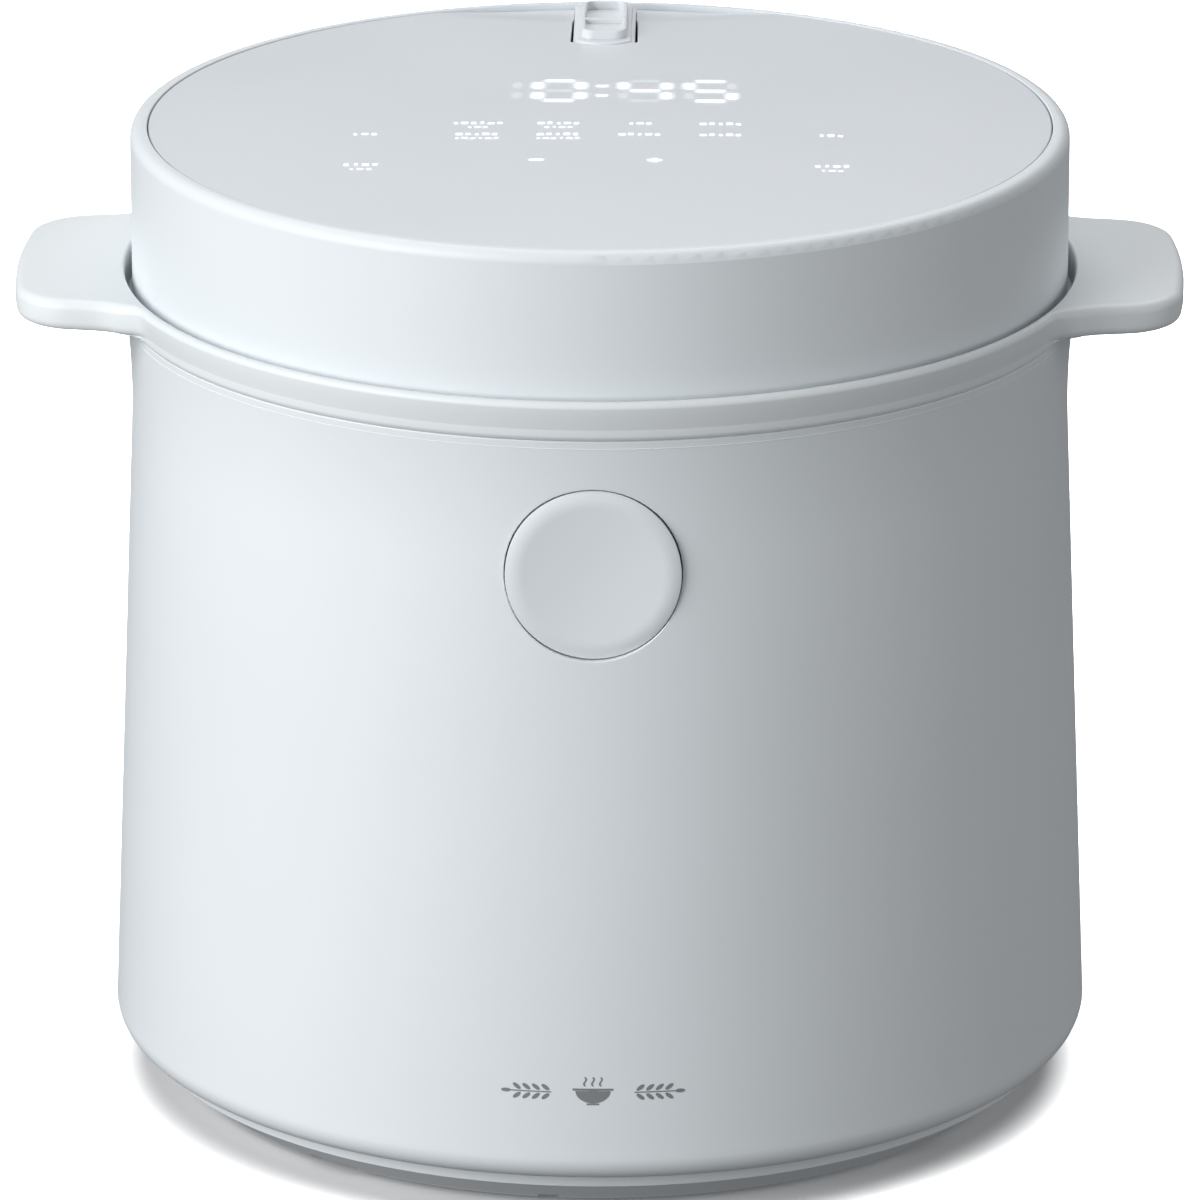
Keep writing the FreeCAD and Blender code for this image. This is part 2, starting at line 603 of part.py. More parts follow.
def power_inlet():
    """A mains inlet with the usual three flat pins in a rounded mouth, seated in the rear window."""
    back = "inlet_face_y - inlet_depth"
    block = box(("-inlet_wide / 2", "inlet_wide / 2"), (back, "inlet_face_y"),
                ("inlet_z - inlet_high / 2", "inlet_z + inlet_high / 2"))
    chamfer = "mouth_high / 3"
    mouth = padded([
        ("-mouth_wide / 2", "-mouth_high / 2"),
        ("mouth_wide / 2", "-mouth_high / 2"),
        ("mouth_wide / 2", f"mouth_high / 2 - {chamfer}"),
        (f"mouth_wide / 2 - {chamfer}", "mouth_high / 2"),
        (f"-mouth_wide / 2 + {chamfer}", "mouth_high / 2"),
        ("-mouth_wide / 2", f"mouth_high / 2 - {chamfer}"),
    ], "mouth_depth + 2")
    put(mouth, (0, "inlet_face_y + 2", "inlet_z"), (1, 0, 0), 90)
    slots = []
    pins = []
    for x, z in ((-7, -2), (0, 2), (7, -2)):
        low, high = f"inlet_z + {z} - 2", f"inlet_z + {z} + 2"
        slots.append(box((x - 1.05, x + 1.05), ("inlet_face_y - inlet_depth - 1", "inlet_face_y"),
                         (f"{low} - 0.05", f"{high} + 0.05")))
        pins.append(box((x - 1, x + 1), (f"{back} - 2", "inlet_face_y - 4.6"), (low, high)))
    node(cut(block, mouth, *slots), "power_inlet")
    node(group(*pins), "inlet_pins")


# Latch and lid button -----------------------------------------------------------------------------

def lid_button():
    """A dished disc with a bevelled rim, turned about its own axis and laid along +Y."""
    cap = turned([
        (0, "-button_dish"),
        ("button_land", 0),
        ("button_radius", "-button_bevel"),
        ("button_radius", "-button_depth"),
        ("button_radius - button_wall", "-button_depth"),
        ("button_radius - button_wall", "-button_bevel - button_wall"),
        ("stem_radius", "-button_bevel - button_wall"),
        ("stem_radius", "stem_shoulder_y - button_face_y"),
        ("stem_tip", "stem_shoulder_y - button_face_y"),
        ("stem_tip", "stem_end_y - button_face_y"),
        (0, "stem_end_y - button_face_y"),
    ])
    put(cap, (0, "-button_face_y", "button_z"), (1, 0, 0), 90)
    node(cap, "lid_button")
    spring = coil(6.2, 0.7, 1.3, 4, (0, "-button_face_y + 3.6", "button_z"), "y")
    node(spring, "button_spring")


def button_guide():
    plate = box(("-guide_half", "guide_half"), ("-guide_front_y", "-guide_back_y"),
                ("guide_low_z", "guide_top_z"))
    legs = [box((f"{side}guide_leg_x - 2", f"{side}guide_leg_x + 2"), ("-guide_leg_y", "-guide_back_y"),
                ("guide_low_z + 2", "guide_top_z - 2.4")) for side in ("-", "")]
    bore = rod("stem_bore", 10, (0, "-guide_leg_y - 0.6", "button_z"), "y")
    node(cut(fuse(plate, *legs), bore), "button_guide")


def latch():
    """A lever on a pin: the button's stem pushes its lower arm, and its nose holds the lid's catch."""
    pin = ("-latch_half - 20", "-latch_pivot_y", "latch_pivot_z")
    arm = ("-latch_arm_half", "latch_arm_half")
    front, deep = "-latch_pivot_y - latch_front", "-latch_pivot_y - latch_inset"
    hub = rod("latch_hub", "2 * latch_half", ("-latch_half", "-latch_pivot_y", "latch_pivot_z"), "x")
    lower_arm = box(("1 - latch_arm_half", "latch_arm_half - 1"), (deep, "-latch_pivot_y - 0.1"),
                    ("button_z - 3.4", "latch_pivot_z"))
    crank = box(arm, (front, "-latch_pivot_y + 1.5"),
                ("latch_pivot_z + crank_low", "latch_pivot_z + crank_high"))
    upper_arm = box(arm, (front, deep), ("latch_pivot_z + crank_low", "nose_z + nose_thick"))
    nose = box(arm, (front, f"{deep} + 0.7"), ("nose_z", "nose_z + nose_thick"))
    bore = rod("latch_pin_radius + 0.05", "2 * latch_half + 40", pin, "x")
    node(cut(fuse(hub, lower_arm, crank, upper_arm, nose), bore), "latch_lever")

    depth, top = ("-cheek_front_y", "-cheek_back_y"), "deck_under_z - 0.2"
    cheeks = []
    for inner, outer, foot in (("cheek_in", "cheek_out", "cheek_foot"), ("-cheek_out", "-cheek_in", None)):
        cheeks.append(box((inner, outer), depth, ("cheek_low_z", top)))
        flange = (inner, foot) if foot else ("-cheek_foot", outer)
        cheeks.append(box(flange, depth, ("deck_under_z - 2", top)))
    web = box(("-cheek_out", "cheek_out"), ("-cheek_back_y - 1.3", "-cheek_back_y"),
              ("cheek_low_z", "cheek_low_z + 7.5"))
    hole = rod("latch_pin_radius", "2 * latch_half + 40", pin, "x")
    node(cut(fuse(*cheeks, web), hole), "latch_bracket")
    pin_half = "cheek_out + 0.5"
    node(rod("latch_pin_radius", f"2 * ({pin_half})", (f"-({pin_half})", *pin[1:]), "x"), "latch_pin")


def latch_spring():
    """A torsion spring about the pin, between the lever's hub and one cheek of the bracket."""
    start = ("latch_half + 0.5", "-latch_pivot_y", "latch_pivot_z")
    node(coil(2.2, 0.5, 0.6, 2.5, start, "x"), "latch_spring")


# Hinge --------------------------------------------------------------------------------------------

def hinge():
    node(rod("pin_radius", "2 * ear_out", ("-ear_out", "pin_y", "pin_z"), "x"), "hinge_pin")
    springs = [coil(2.5, 0.9, 1.1, 4, (start, "pin_y", "pin_z"), "x")
               for start in ("knuckle_half + 1.2", "-knuckle_half - 5.6")]
    node(group(*springs), "hinge_springs")


# Lid ----------------------------------------------------------------------------------------------

def ear_clearance():
    rooms = []
    for low, high in (("knuckle_half", "ear_out + 0.6"), ("-ear_out - 0.6", "-knuckle_half")):
        rooms.append(rod("ear_room", f"({high}) - ({low})", (low, "pin_y", "pin_z"), "x"))
    return rooms


def lid_shell():
    wall = turned([
        ("lid_lip_radius", "lid_low_z"),
        ("lid_radius - lid_low_round", "lid_low_z", "lid_low_round"),
        ("lid_radius", "lid_low_z + lid_low_round"),
        ("lid_radius", "lid_top_z - lid_top_round", "lid_top_round"),
        ("lid_radius - lid_top_round", "lid_top_z"),
        ("panel_seat_radius + 0.3", "lid_top_z", "0.3"),
        ("panel_seat_radius", "lid_top_z - 0.3"),
        ("panel_seat_radius", "panel_seat_z"),
        ("panel_seat_radius - 4.5", "panel_seat_z"),
        ("panel_seat_radius - 4.5", "panel_seat_z - 2"),
        ("lid_radius - lid_wall", "panel_seat_z - 2"),
        ("lid_radius - lid_wall", "lid_low_z + lid_low_round + 0.6"),
        ("lid_lip_radius + 3", "lid_low_z + 1.8"),
        ("lid_lip_radius", "lid_low_z + 1.8"),
    ])
    knuckle = rod("ear_radius", "2 * knuckle_half", ("-knuckle_half", "pin_y", "pin_z"), "x")
    web = box(("-knuckle_half", "knuckle_half"), ("lid_radius - lid_wall - 0.4", "pin_y"),
              ("pin_z - ear_radius", "pin_z + ear_radius"))
    bore = rod("pin_bore", 80, (-40, "pin_y", "pin_z"), "x")
    return node(cut(fuse(wall, knuckle, web), bore, *ear_clearance()), "lid_shell")


def cap_outline(side_gap, end_gap, low, high):
    """The steam cap's plan, square at the back and bowed at the front, padded between two heights."""
    half, shoulder = f"cap_half + {side_gap}", f"cap_front_y + cap_bow - {end_gap}"
    back = f"cap_back_y + {end_gap}"
    block = padded([
        (f"-({half})", shoulder, f"(({half}) ^ 2 + cap_bow ^ 2) / (2 * cap_bow)"),
        (half, shoulder),
        (half, back),
        (f"-({half})", back),
    ], f"({high}) - ({low})")
    return put(block, (0, 0, low))


def top_panel():
    panel = turned([
        (0, "panel_crown_z - panel_thick"),
        ("panel_radius - 2", "panel_edge_z - panel_thick"),
        ("panel_radius - 2", "panel_under_z"),
        ("panel_radius", "panel_under_z"),
        ("panel_radius", "panel_edge_z - 0.3", "0.35"),
        ("panel_radius - 0.3", "panel_edge_z", "crown_round"),
        (0, "panel_crown_z"),
    ])
    return node(cut(panel, cap_outline("cap_side_gap", "cap_gap", 225, 250)), "top_panel")


def lid_liner():
    pan = turned([
        (0, "liner_z"),
        ("liner_ring", "liner_z"),
        ("liner_ring", "liner_low_z"),
        ("liner_step", "liner_low_z"),
        ("liner_step", "liner_z - 0.8"),
        ("liner_radius", "liner_z - 0.8"),
        ("liner_radius", "liner_z + liner_thick"),
        (0, "liner_z + liner_thick"),
    ])
    duct_hole = rod("duct_radius + 0.2", 10, (0, "duct_y", "liner_z - 4"))
    grommet_hole = rod(3.2, 10, (0, 0, "liner_z - 4"))
    catch_hole = box(("-tongue_half - 0.3", "tongue_half + 0.3"),
                     ("-tongue_front_y - 0.3", "-tongue_back_y + 0.3"), ("liner_z - 6", "liner_z + 6"))
    return node(cut(pan, duct_hole, grommet_hole, catch_hole, *ear_clearance()), "lid_liner")


def inner_lid():
    disc = turned([
        (0, "plate_lid_z"),
        ("plate_lid_radius - 4", "plate_lid_z"),
        ("plate_lid_radius", "plate_lid_z + 0.6"),
        ("plate_lid_radius", "plate_lid_z + 0.6 + plate_lid_thick"),
        ("plate_lid_radius - 4", "plate_lid_z + plate_lid_thick"),
        (0, "plate_lid_z + plate_lid_thick"),
    ])
    holes = [rod(4.2, 6, (0, 0, "plate_lid_z - 2"))]
    for step in range(9):
        for circle, radius in ((34, 1.5), (44, 1.5)):
            x, y = around(circle, 20 + 40 * step)
            holes.append(rod(radius, 6, (x, y, "plate_lid_z - 2")))
    return node(cut(disc, *holes), "inner_lid")


def lid_seals():
    gasket = turned([
        (91.4, "gasket_low_z"),
        (95.6, "gasket_low_z"),
        (98.6, "gasket_low_z + 1.4"),
        (98.6, "liner_z - 0.1"),
        (93.3, "liner_z - 0.1"),
        (93.3, "plate_lid_z + 0.4"),
        (91.4, "plate_lid_z - 0.1"),
    ])
    node(gasket, "lid_gasket")
    grommet = turned([
        (0, "plate_lid_z - 1.8"),
        (9, "plate_lid_z - 1.8"),
        (9, "plate_lid_z - 0.1"),
        (4.1, "plate_lid_z - 0.1"),
        (4.1, "plate_lid_z + plate_lid_thick + 0.1"),
        (7, "plate_lid_z + plate_lid_thick + 0.1"),
        (7, "liner_z - 0.1"),
        (3.1, "liner_z - 0.1"),
        (3.1, "liner_z + liner_thick + 0.2"),
        (0, "liner_z + liner_thick + 0.2"),
    ])
    node(grommet, "inner_lid_grommet")


def steam_duct():
    foot = "liner_z + liner_thick + 0.2"
    pipe = turned([
        ("duct_radius - duct_wall", "liner_z - 0.6"),
        ("duct_radius", "liner_z - 0.6"),
        ("duct_radius", foot),
        ("duct_radius + 4", foot),
        ("duct_radius + 4", f"{foot} + 1.6"),
        ("duct_radius", f"{foot} + 1.6"),
        ("duct_radius", "duct_top_z - 1.2"),
        ("duct_radius - duct_wall", "duct_top_z - 1.2"),
    ])
    node(put(pipe, (0, "duct_y", 0)), "steam_duct")
    seal = tube("duct_radius - duct_wall - 0.1", "duct_radius - duct_wall - 1.3", 7,
                (0, "duct_y", "duct_top_z - 8.2"))
    node(seal, "steam_duct_seal")


def lid_electronics():
    holes = [rod(1.7, 6, (x, y, "display_board_z - 2")) for x, y in LID_POSTS]
    board = box((-66, 66), (-58, 48), ("display_board_z", "display_board_z + board_thick"))
    node(cut(board, *holes), "display_board")
    block = ("display_board_z + board_thick + 0.1", "panel_edge_z - panel_thick - 1")
    node(box((-36, 38), (6, 42), block), "led_digits")
    icons = [box((x - 9, x + 9), (-22, -2), block) for x in (-30, -10, 10, 30)]
    node(group(*icons), "led_icons")
    keys = [coil(2.6, 0.7, 2.0, 7.6, (x, y, "display_board_z + board_thick + 0.5")) for x, y in TOUCH_KEYS]
    node(group(*keys), "touch_springs")


def lid_catch():
    """A tongue below the liner, with the tooth that the latch's nose holds, on a flange above it."""
    width = ("-tongue_half", "tongue_half")
    top = "liner_z + liner_thick + 0.1"
    tongue = box(width, ("-tongue_front_y", "-tongue_back_y"), ("nose_z - 3.6", f"{top} + 2"))
    tooth = box(width, ("-tongue_front_y - 1", "-tongue_back_y - 1"), ("nose_z - 3.2", "nose_z - 0.3"))
    flange = box(("-2 * tongue_half", "2 * tongue_half"), ("-tongue_front_y", -88), (top, f"{top} + 2"))
    node(fuse(tongue, tooth, flange), "lid_catch")


def lid_screws():
    seat = "display_board_z + board_thick + 0.1"
    screws = [screw((x, y, seat), 5, 2.8, 1.3, up=False) for x, y in LID_POSTS]
    node(group(*screws), "lid_screws")


# Steam cap ----------------------------------------------------------------------------------------

def stadium(half, front, back, low, high):
    """A bar with round ends, seen from above, between two heights."""
    block = box((-half, half), (front + half, back - half), (low, high))
    ends = [rod(half, f"({high}) - ({low})", (0, y, low)) for y in (front + half, back - half)]
    return fuse(block, *ends)


def steam_cap():
    deck_z = "panel_edge_z + cap_deck"
    tray = cap_outline(0, 0, "cap_low_z + 3", deck_z)
    hollow = box(("cap_wall - cap_half", "cap_half - cap_wall"),
                 ("cap_front_y + cap_bow + 1", "cap_back_y - cap_wall"),
                 ("cap_low_z + 4.6", f"{deck_z} - 1.6"))
    inlet_hole = rod(4.2, 10, (0, "duct_y", "cap_low_z"))
    outlet = box((-3.4, 3.4), (88, 97), (f"{deck_z} - 5", f"{deck_z} + 1"))
    node(cut(tray, hollow, inlet_hole, outlet), "steam_cap_base")

    half, front, back, wide = 5.8, 73, 103, 1.4
    rim = cut(stadium(half, front, back, f"{deck_z} + 0.1", "cap_top_z"),
              stadium(half - wide, front + wide, back - wide, f"{deck_z} - 1", "cap_top_z + 1"))
    bar = box((-4.6, 4.6), (84.4, 86.6), (f"{deck_z} + 0.1", "cap_top_z - 0.3"))
    node(fuse(rim, bar), "steam_cap_top")
    node(tube(6.2, 4.4, 2.8, (0, "duct_y", "cap_low_z + 0.1")), "steam_cap_seal")


# Build --------------------------------------------------------------------------------------------

for make in (outer_shell, collar, base_tray, rubber_feet, base_screws, collar_screws, rating_plate,
             inner_casing, heating_plate, heating_element, plate_supports, band_heater, inner_pot, sensor,
             electrics, wiring, power_inlet, lid_button, button_guide, latch, latch_spring, hinge,
             lid_shell, top_panel, lid_liner, inner_lid, lid_seals, steam_duct, lid_electronics,
             lid_catch, lid_screws, steam_cap):
    make()
doc.recompute()

for item in doc.Objects:
    if {"Invalid", "Error"} & set(item.State):
        raise RuntimeError(f"{item.Label} ({item.Name}) is {item.State}")

os.makedirs("parts", exist_ok=True)
for item in nodes:
    shape = item.Shape
    if shape.isNull() or not shape.isValid() or not shape.Solids:
        raise RuntimeError(f"{item.Label} has no valid solid")
    shape.exportStep(os.path.join("parts", f"{item.Label}.step"))
    print(f"{item.Label:20s} {len(shape.Solids):3d} solids {shape.Volume / 1000:9.2f} cm3")
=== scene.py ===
# %% [markdown]
# # A rice cooker, piece by piece
# The engineering model of this cooker is already packed: every casing, pin, spring and board has its place.
# This lesson dresses it. We load that model as a fixed frame, measure where its parts are, and build the
# parts that a person sees again as clean, rounded meshes. Parts that already have the right shape only get
# a finish. Everything is in metres, standing on z = 0, with the front facing -Y.

# %% Load the frame
import math

import bmesh
import bpy
from mathutils import Matrix, Vector


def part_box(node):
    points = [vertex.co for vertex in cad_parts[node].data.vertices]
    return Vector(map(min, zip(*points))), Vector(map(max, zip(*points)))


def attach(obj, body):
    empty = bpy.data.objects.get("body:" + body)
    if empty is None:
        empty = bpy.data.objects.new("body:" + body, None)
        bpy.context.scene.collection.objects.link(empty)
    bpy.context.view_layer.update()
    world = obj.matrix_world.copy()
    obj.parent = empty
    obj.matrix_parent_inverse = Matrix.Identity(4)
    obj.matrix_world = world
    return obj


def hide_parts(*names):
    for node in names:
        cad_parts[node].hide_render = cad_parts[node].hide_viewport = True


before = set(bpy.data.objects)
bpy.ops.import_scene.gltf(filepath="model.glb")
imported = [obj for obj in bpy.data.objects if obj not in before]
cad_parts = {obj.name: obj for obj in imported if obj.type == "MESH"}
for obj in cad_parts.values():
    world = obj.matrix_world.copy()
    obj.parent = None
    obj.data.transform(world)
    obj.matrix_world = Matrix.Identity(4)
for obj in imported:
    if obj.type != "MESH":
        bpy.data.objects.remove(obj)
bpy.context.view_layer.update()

# %% [markdown]
# ## Measuring in millimetres
# A small appliance is easiest to think about in millimetres, so each mesh is drawn in them and shrunk once,
# at the end. The sizes that repeat below are read from the frame where the frame has them.

# %% Sizes read from the frame
MM = 0.001


def span(node):
    """The lowest and highest corner of a frame part, in millimetres."""
    low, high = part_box(node)
    return low / MM, high / MM


wall_low, wall_high = span("outer_shell")
button_low, button_high = span("lid_button")
cap_low, cap_high = span("steam_cap_base")
pin_low, pin_high = span("hinge_pin")
inlet_low, inlet_high = span("power_inlet")

PANEL_RADIUS = round(span("top_panel")[1].x, 1)
BELLY_RADIUS = wall_high.x
BUTTON_Z = (button_low.z + button_high.z) / 2
BUTTON_RADIUS = (button_high.x - button_low.x) / 2
CREST_Z = 207.0
PIN_Y = (pin_low.y + pin_high.y) / 2
PIN_Z = (pin_low.z + pin_high.z) / 2
print(f"panel radius {PANEL_RADIUS:.1f}, belly radius {BELLY_RADIUS:.1f}")
print(f"button radius {BUTTON_RADIUS:.1f} at height {BUTTON_Z:.1f}, hinge pin at height {PIN_Z:.1f}")

# %% [markdown]
# ## Shader maths that reads like maths
# A procedural finish is a sum of small patterns. Wiring each sum by hand hides the idea, so one small class
# wraps a socket, and the ordinary operators add the Math nodes.

# %% A socket that does arithmetic
class Signal:
    """A number that varies over the surface, as an output socket of a node tree."""

    def __init__(self, finish, socket):
        self.finish = finish
        self.socket = socket

    def maths(self, operation, *others, clamp=False):
        values = {index: other for index, other in enumerate((self, *others))}
        return self.finish.add("ShaderNodeMath", {"operation": operation, "use_clamp": clamp}, values)

    def __add__(self, other):
        return self.maths("ADD", other)

    def __sub__(self, other):
        return self.maths("SUBTRACT", other)

    def __mul__(self, other):
        return self.maths("MULTIPLY", other)

    def __rsub__(self, other):
        return (self * -1) + other

    __radd__ = __add__
    __rmul__ = __mul__

    def step(self, low, high):
        """0 below low, 1 above high, and smooth between them."""
        ends = {"Value": self, "From Min": low, "From Max": high}
        return self.finish.add("ShaderNodeMapRange", {"interpolation_type": "SMOOTHSTEP"}, ends)


class Finish:
    """A material, with one method that adds any node to it."""

    def __init__(self, name):
        self.material = bpy.data.materials.new(name)
        self.material.use_nodes = True
        self.tree = self.material.node_tree
        self.shader = self.tree.nodes["Principled BSDF"]

    def add(self, kind, settings=None, values=None, output=0):
        node = self.tree.nodes.new(kind)
        for name, setting in (settings or {}).items():
            setattr(node, name, setting)
        for key, value in (values or {}).items():
            self.feed(node.inputs[key], value)
        return Signal(self, node.outputs[output])

    def feed(self, socket, value):
        if isinstance(value, Signal):
            self.tree.links.new(value.socket, socket)
        else:
            socket.default_value = value

    def set(self, **values):
        for name, value in values.items():
            self.feed(self.shader.inputs[name.replace("_", " ").title().replace("Ior", "IOR")], value)

    def place(self, scale=(1, 1, 1)):
        """Object coordinates, stretched."""
        where = self.add("ShaderNodeTexCoord", output="Object")
        return self.add("ShaderNodeMapping", None, {"Vector": where, "Scale": scale})

    def noise(self, grain_mm, detail=2.0, stretch=(1, 1, 1), rough=0.5):
        """Cloudy noise from 0 to 1 whose lumps are about grain_mm wide."""
        where = self.place(stretch)
        values = {"Vector": where, "Scale": 1 / (grain_mm * MM), "Detail": detail, "Roughness": rough}
        return self.add("ShaderNodeTexNoise", {"noise_dimensions": "3D"}, values)

    def blend(self, factor, first, second):
        """A colour between two colours."""
        return self.add("ShaderNodeMix", {"data_type": "RGBA"}, {0: factor, 6: first, 7: second}, 2)

    def bump(self, height, depth_mm):
        """Feeds the Normal from a height of 0 to 1 that stands for depth_mm."""
        depth = {"Height": height, "Strength": 1.0, "Distance": depth_mm * MM}
        self.set(Normal=self.add("ShaderNodeBump", None, depth))


def rgb(red, green, blue):
    """A colour with its fourth channel, which sockets ask for."""
    return (red, green, blue, 1.0)


# %% [markdown]
# ## White moulded plastic
# The casing is a satin white thermoplastic. Up close its skin is spark-eroded: a very fine, shallow grain
# that spreads highlights. It could be painted as a flat colour, but then the big round wall looks like paper,
# so the grain goes into the bump, and slow clouds of roughness and tint keep broad highlights alive.

# %% Plastic finishes
def plastic(name, colour, rough=0.5, grain_mm=0.5, grain_depth=0.006, tint=0.012):
    """Moulded plastic with a fine grain, and a tint that drifts a little."""
    finish = Finish(name)
    cloud = finish.noise(60, 3.0)
    grain = finish.noise(grain_mm, 1.0)
    darker = rgb(*(channel * (1 - 2.5 * tint) for channel in colour))
    finish.set(Base_Color=finish.blend(cloud, darker, rgb(*colour)), Roughness=rough - 0.04 + cloud * 0.08)
    finish.bump(grain, grain_depth)
    return finish.material


shell_white = plastic("satin_white_shell", (0.775, 0.82, 0.85), 0.46)
collar_white = plastic("satin_white_collar", (0.79, 0.83, 0.845), 0.48)
panel_white = plastic("smooth_panel", (0.735, 0.775, 0.815), 0.36, 0.35, 0.002)
cap_white = plastic("cap_white", (0.755, 0.79, 0.82), 0.42, 0.4, 0.003)
liner_grey = plastic("liner_grey", (0.50, 0.51, 0.53), 0.42)
black_plastic = plastic("inlet_black", (0.025, 0.025, 0.028), 0.4, 0.6, 0.01)
silicone = plastic("silicone_seal", (0.60, 0.61, 0.62), 0.55, 0.8, 0.004)
foot_rubber = plastic("foot_rubber", (0.22, 0.22, 0.23), 0.75, 0.6, 0.02)
led_lens = plastic("led_diffuser", (0.70, 0.72, 0.72), 0.3, 0.5, 0.002)
print(len(bpy.data.materials), "plastics and rubbers")

# %% [markdown]
# ## Metals
# Drawn and turned metal carries fine parallel lines from its making. Stretching the noise along one axis
# draws them. A cast heating plate is turned on a lathe, so its lines are rings: there the noise reads the
# distance from the axis.

# %% Metal finishes
def metal(name, colour, rough=0.32, stretch=(0.05, 0.05, 1), line_mm=0.25, depth=0.004):
    """Drawn metal: fine lines along the directions that stretch makes long."""
    finish = Finish(name)
    lines = finish.noise(line_mm, 2.0, stretch)
    cloud = finish.noise(25, 3.0)
    darker = rgb(*(channel * 0.82 for channel in colour))
    finish.set(Base_Color=finish.blend(cloud, darker, rgb(*colour)), Metallic=1.0,
               Roughness=rough - 0.08 + lines * 0.16 + cloud * 0.06)
    finish.bump(lines, depth)
    return finish.material


def turned_metal(name, colour, rough, ring_mm, depth):
    """Metal with the fine rings that a lathe leaves, about the upright axis."""
    finish = Finish(name)
    flat = finish.place((1, 1, 0))
    radius = finish.add("ShaderNodeVectorMath", {"operation": "LENGTH"}, {0: flat}, "Value")
    rings = finish.add("ShaderNodeTexNoise", {"noise_dimensions": "1D"},
                       {"W": radius, "Scale": 1 / (ring_mm * MM), "Detail": 3.0})
    cloud = finish.noise(30, 2.0)
    darker = rgb(*(channel * 0.85 for channel in colour))
    finish.set(Base_Color=finish.blend(rings, darker, rgb(*colour)), Metallic=1.0,
               Roughness=rough - 0.05 + cloud * 0.1)
    finish.bump(rings, depth)
    return finish.material


steel = metal("zinc_steel", (0.58, 0.58, 0.59))
galvanised = metal("galvanised_sheet", (0.55, 0.56, 0.58), 0.42, (1, 1, 0.15), 3.0, 0.003)
plate_metal = turned_metal("turned_aluminium", (0.72, 0.73, 0.74), 0.35, 0.5, 0.006)
inner_lid_metal = turned_metal("inner_lid_aluminium", (0.80, 0.81, 0.82), 0.26, 0.35, 0.003)
pin_metal = metal("nickelled_brass", (0.72, 0.62, 0.42), 0.25)
print(len(bpy.data.materials), "materials with the metals")

# %% [markdown]
# ## Small things inside
# The boards, the coil of the transformer, glass cloth and wire are hardly seen, but the lid opens and the
# base has vents. Each gets a finish with one idea: copper tracks under green lacquer, woven glass, tape.

# %% Finishes for the electrics
def pot_coat():
    """A dark non-stick coat with fine light flecks."""
    finish = Finish("nonstick_coat")
    flecks = finish.noise(1.1, 1.0).step(0.66, 0.72)
    cloud = finish.noise(40, 2.0)
    base = finish.blend(cloud, rgb(0.035, 0.035, 0.037), rgb(0.05, 0.05, 0.053))
    finish.set(Base_Color=finish.blend(flecks, base, rgb(0.23, 0.23, 0.235)), Roughness=0.34 + flecks * 0.1,
               Metallic=0.3)
    finish.bump(finish.noise(0.8, 2.0), 0.01)
    return finish.material


def board_green():
    """Green lacquer over square-cornered copper tracks."""
    finish = Finish("circuit_board")
    where = finish.place((150, 150, 0))
    tracks = finish.add("ShaderNodeTexBrick", {"offset": 0.37}, {
        "Vector": where, "Scale": 1.0, "Mortar Size": 0.06, "Mortar Smooth": 0.1,
        "Color1": rgb(0, 0, 0), "Color2": rgb(0, 0, 0), "Mortar": rgb(1, 1, 1)}, "Fac")
    finish.set(Base_Color=finish.blend(tracks, rgb(0.012, 0.10, 0.045), rgb(0.03, 0.20, 0.085)),
               Roughness=0.32 + tracks * 0.08)
    finish.bump(tracks, 0.03)
    return finish.material


def woven(name, dark, light, thread_mm):
    """Crossed threads, as on glass cloth or tape."""
    finish = Finish(name)
    pitch = {"Vector": finish.place(), "Scale": 300.0 / thread_mm, "Distortion": 0.4}
    along = finish.add("ShaderNodeTexWave", {"bands_direction": "Z"}, pitch, "Fac")
    across = finish.add("ShaderNodeTexWave", {"bands_direction": "X"}, pitch, "Fac")
    weave = (along + across) * 0.5
    finish.set(Base_Color=finish.blend(weave, rgb(*dark), rgb(*light)), Roughness=0.85 - weave * 0.1)
    finish.bump(weave, 0.08)
    return finish.material


def clear_glass():
    """The fuse's tube, with a slightly smeared surface."""
    finish = Finish("fuse_glass")
    smear = finish.noise(6, 2.0)
    finish.set(Base_Color=rgb(0.85, 0.9, 0.9), Roughness=0.04 + smear * 0.08, Transmission_Weight=0.85,
               IOR=1.5)
    return finish.material


coat = pot_coat()
board = board_green()
glass_cloth = woven("glass_cloth", (0.38, 0.33, 0.26), (0.62, 0.57, 0.48), 0.8)
winding = woven("transformer_tape", (0.30, 0.22, 0.05), (0.55, 0.43, 0.10), 1.6)
fuse_glass = clear_glass()
label_film = plastic("blank_label", (0.62, 0.63, 0.64), 0.3, 1.2, 0.002, 0.03)
wire_red = plastic("wire_insulation", (0.42, 0.03, 0.02), 0.45, 0.8, 0.01)
print(len(bpy.data.materials), "materials")

# %% [markdown]
# ## Dressing the parts that keep their shape
# Where the frame's own mesh is already right, only its finish changes.

# %% Finishes for the frame's own parts
DRESS = {
    shell_white: "lid_shell base_tray lid_catch",
    liner_grey: "lid_liner steam_duct button_guide latch_lever sensor_guide relay",
    led_lens: "led_digits led_icons",
    black_plastic: "power_inlet capacitors",
    silicone: "lid_gasket inner_lid_grommet steam_duct_seal steam_cap_seal",
    foot_rubber: "rubber_feet",
    plate_metal: "heating_plate sensor_cup",
    inner_lid_metal: "inner_lid",
    coat: "inner_pot",
    galvanised: "inner_casing plate_supports latch_bracket",
    steel: "heating_element base_screws collar_screws lid_screws latch_pin hinge_pin latch_spring "
           "hinge_springs button_spring sensor_spring touch_springs",
    glass_cloth: "band_heater",
    board: "power_board display_board",
    winding: "transformer",
    wire_red: "wiring",
    pin_metal: "inlet_pins",
    label_film: "rating_plate",
    fuse_glass: "fuse",
}
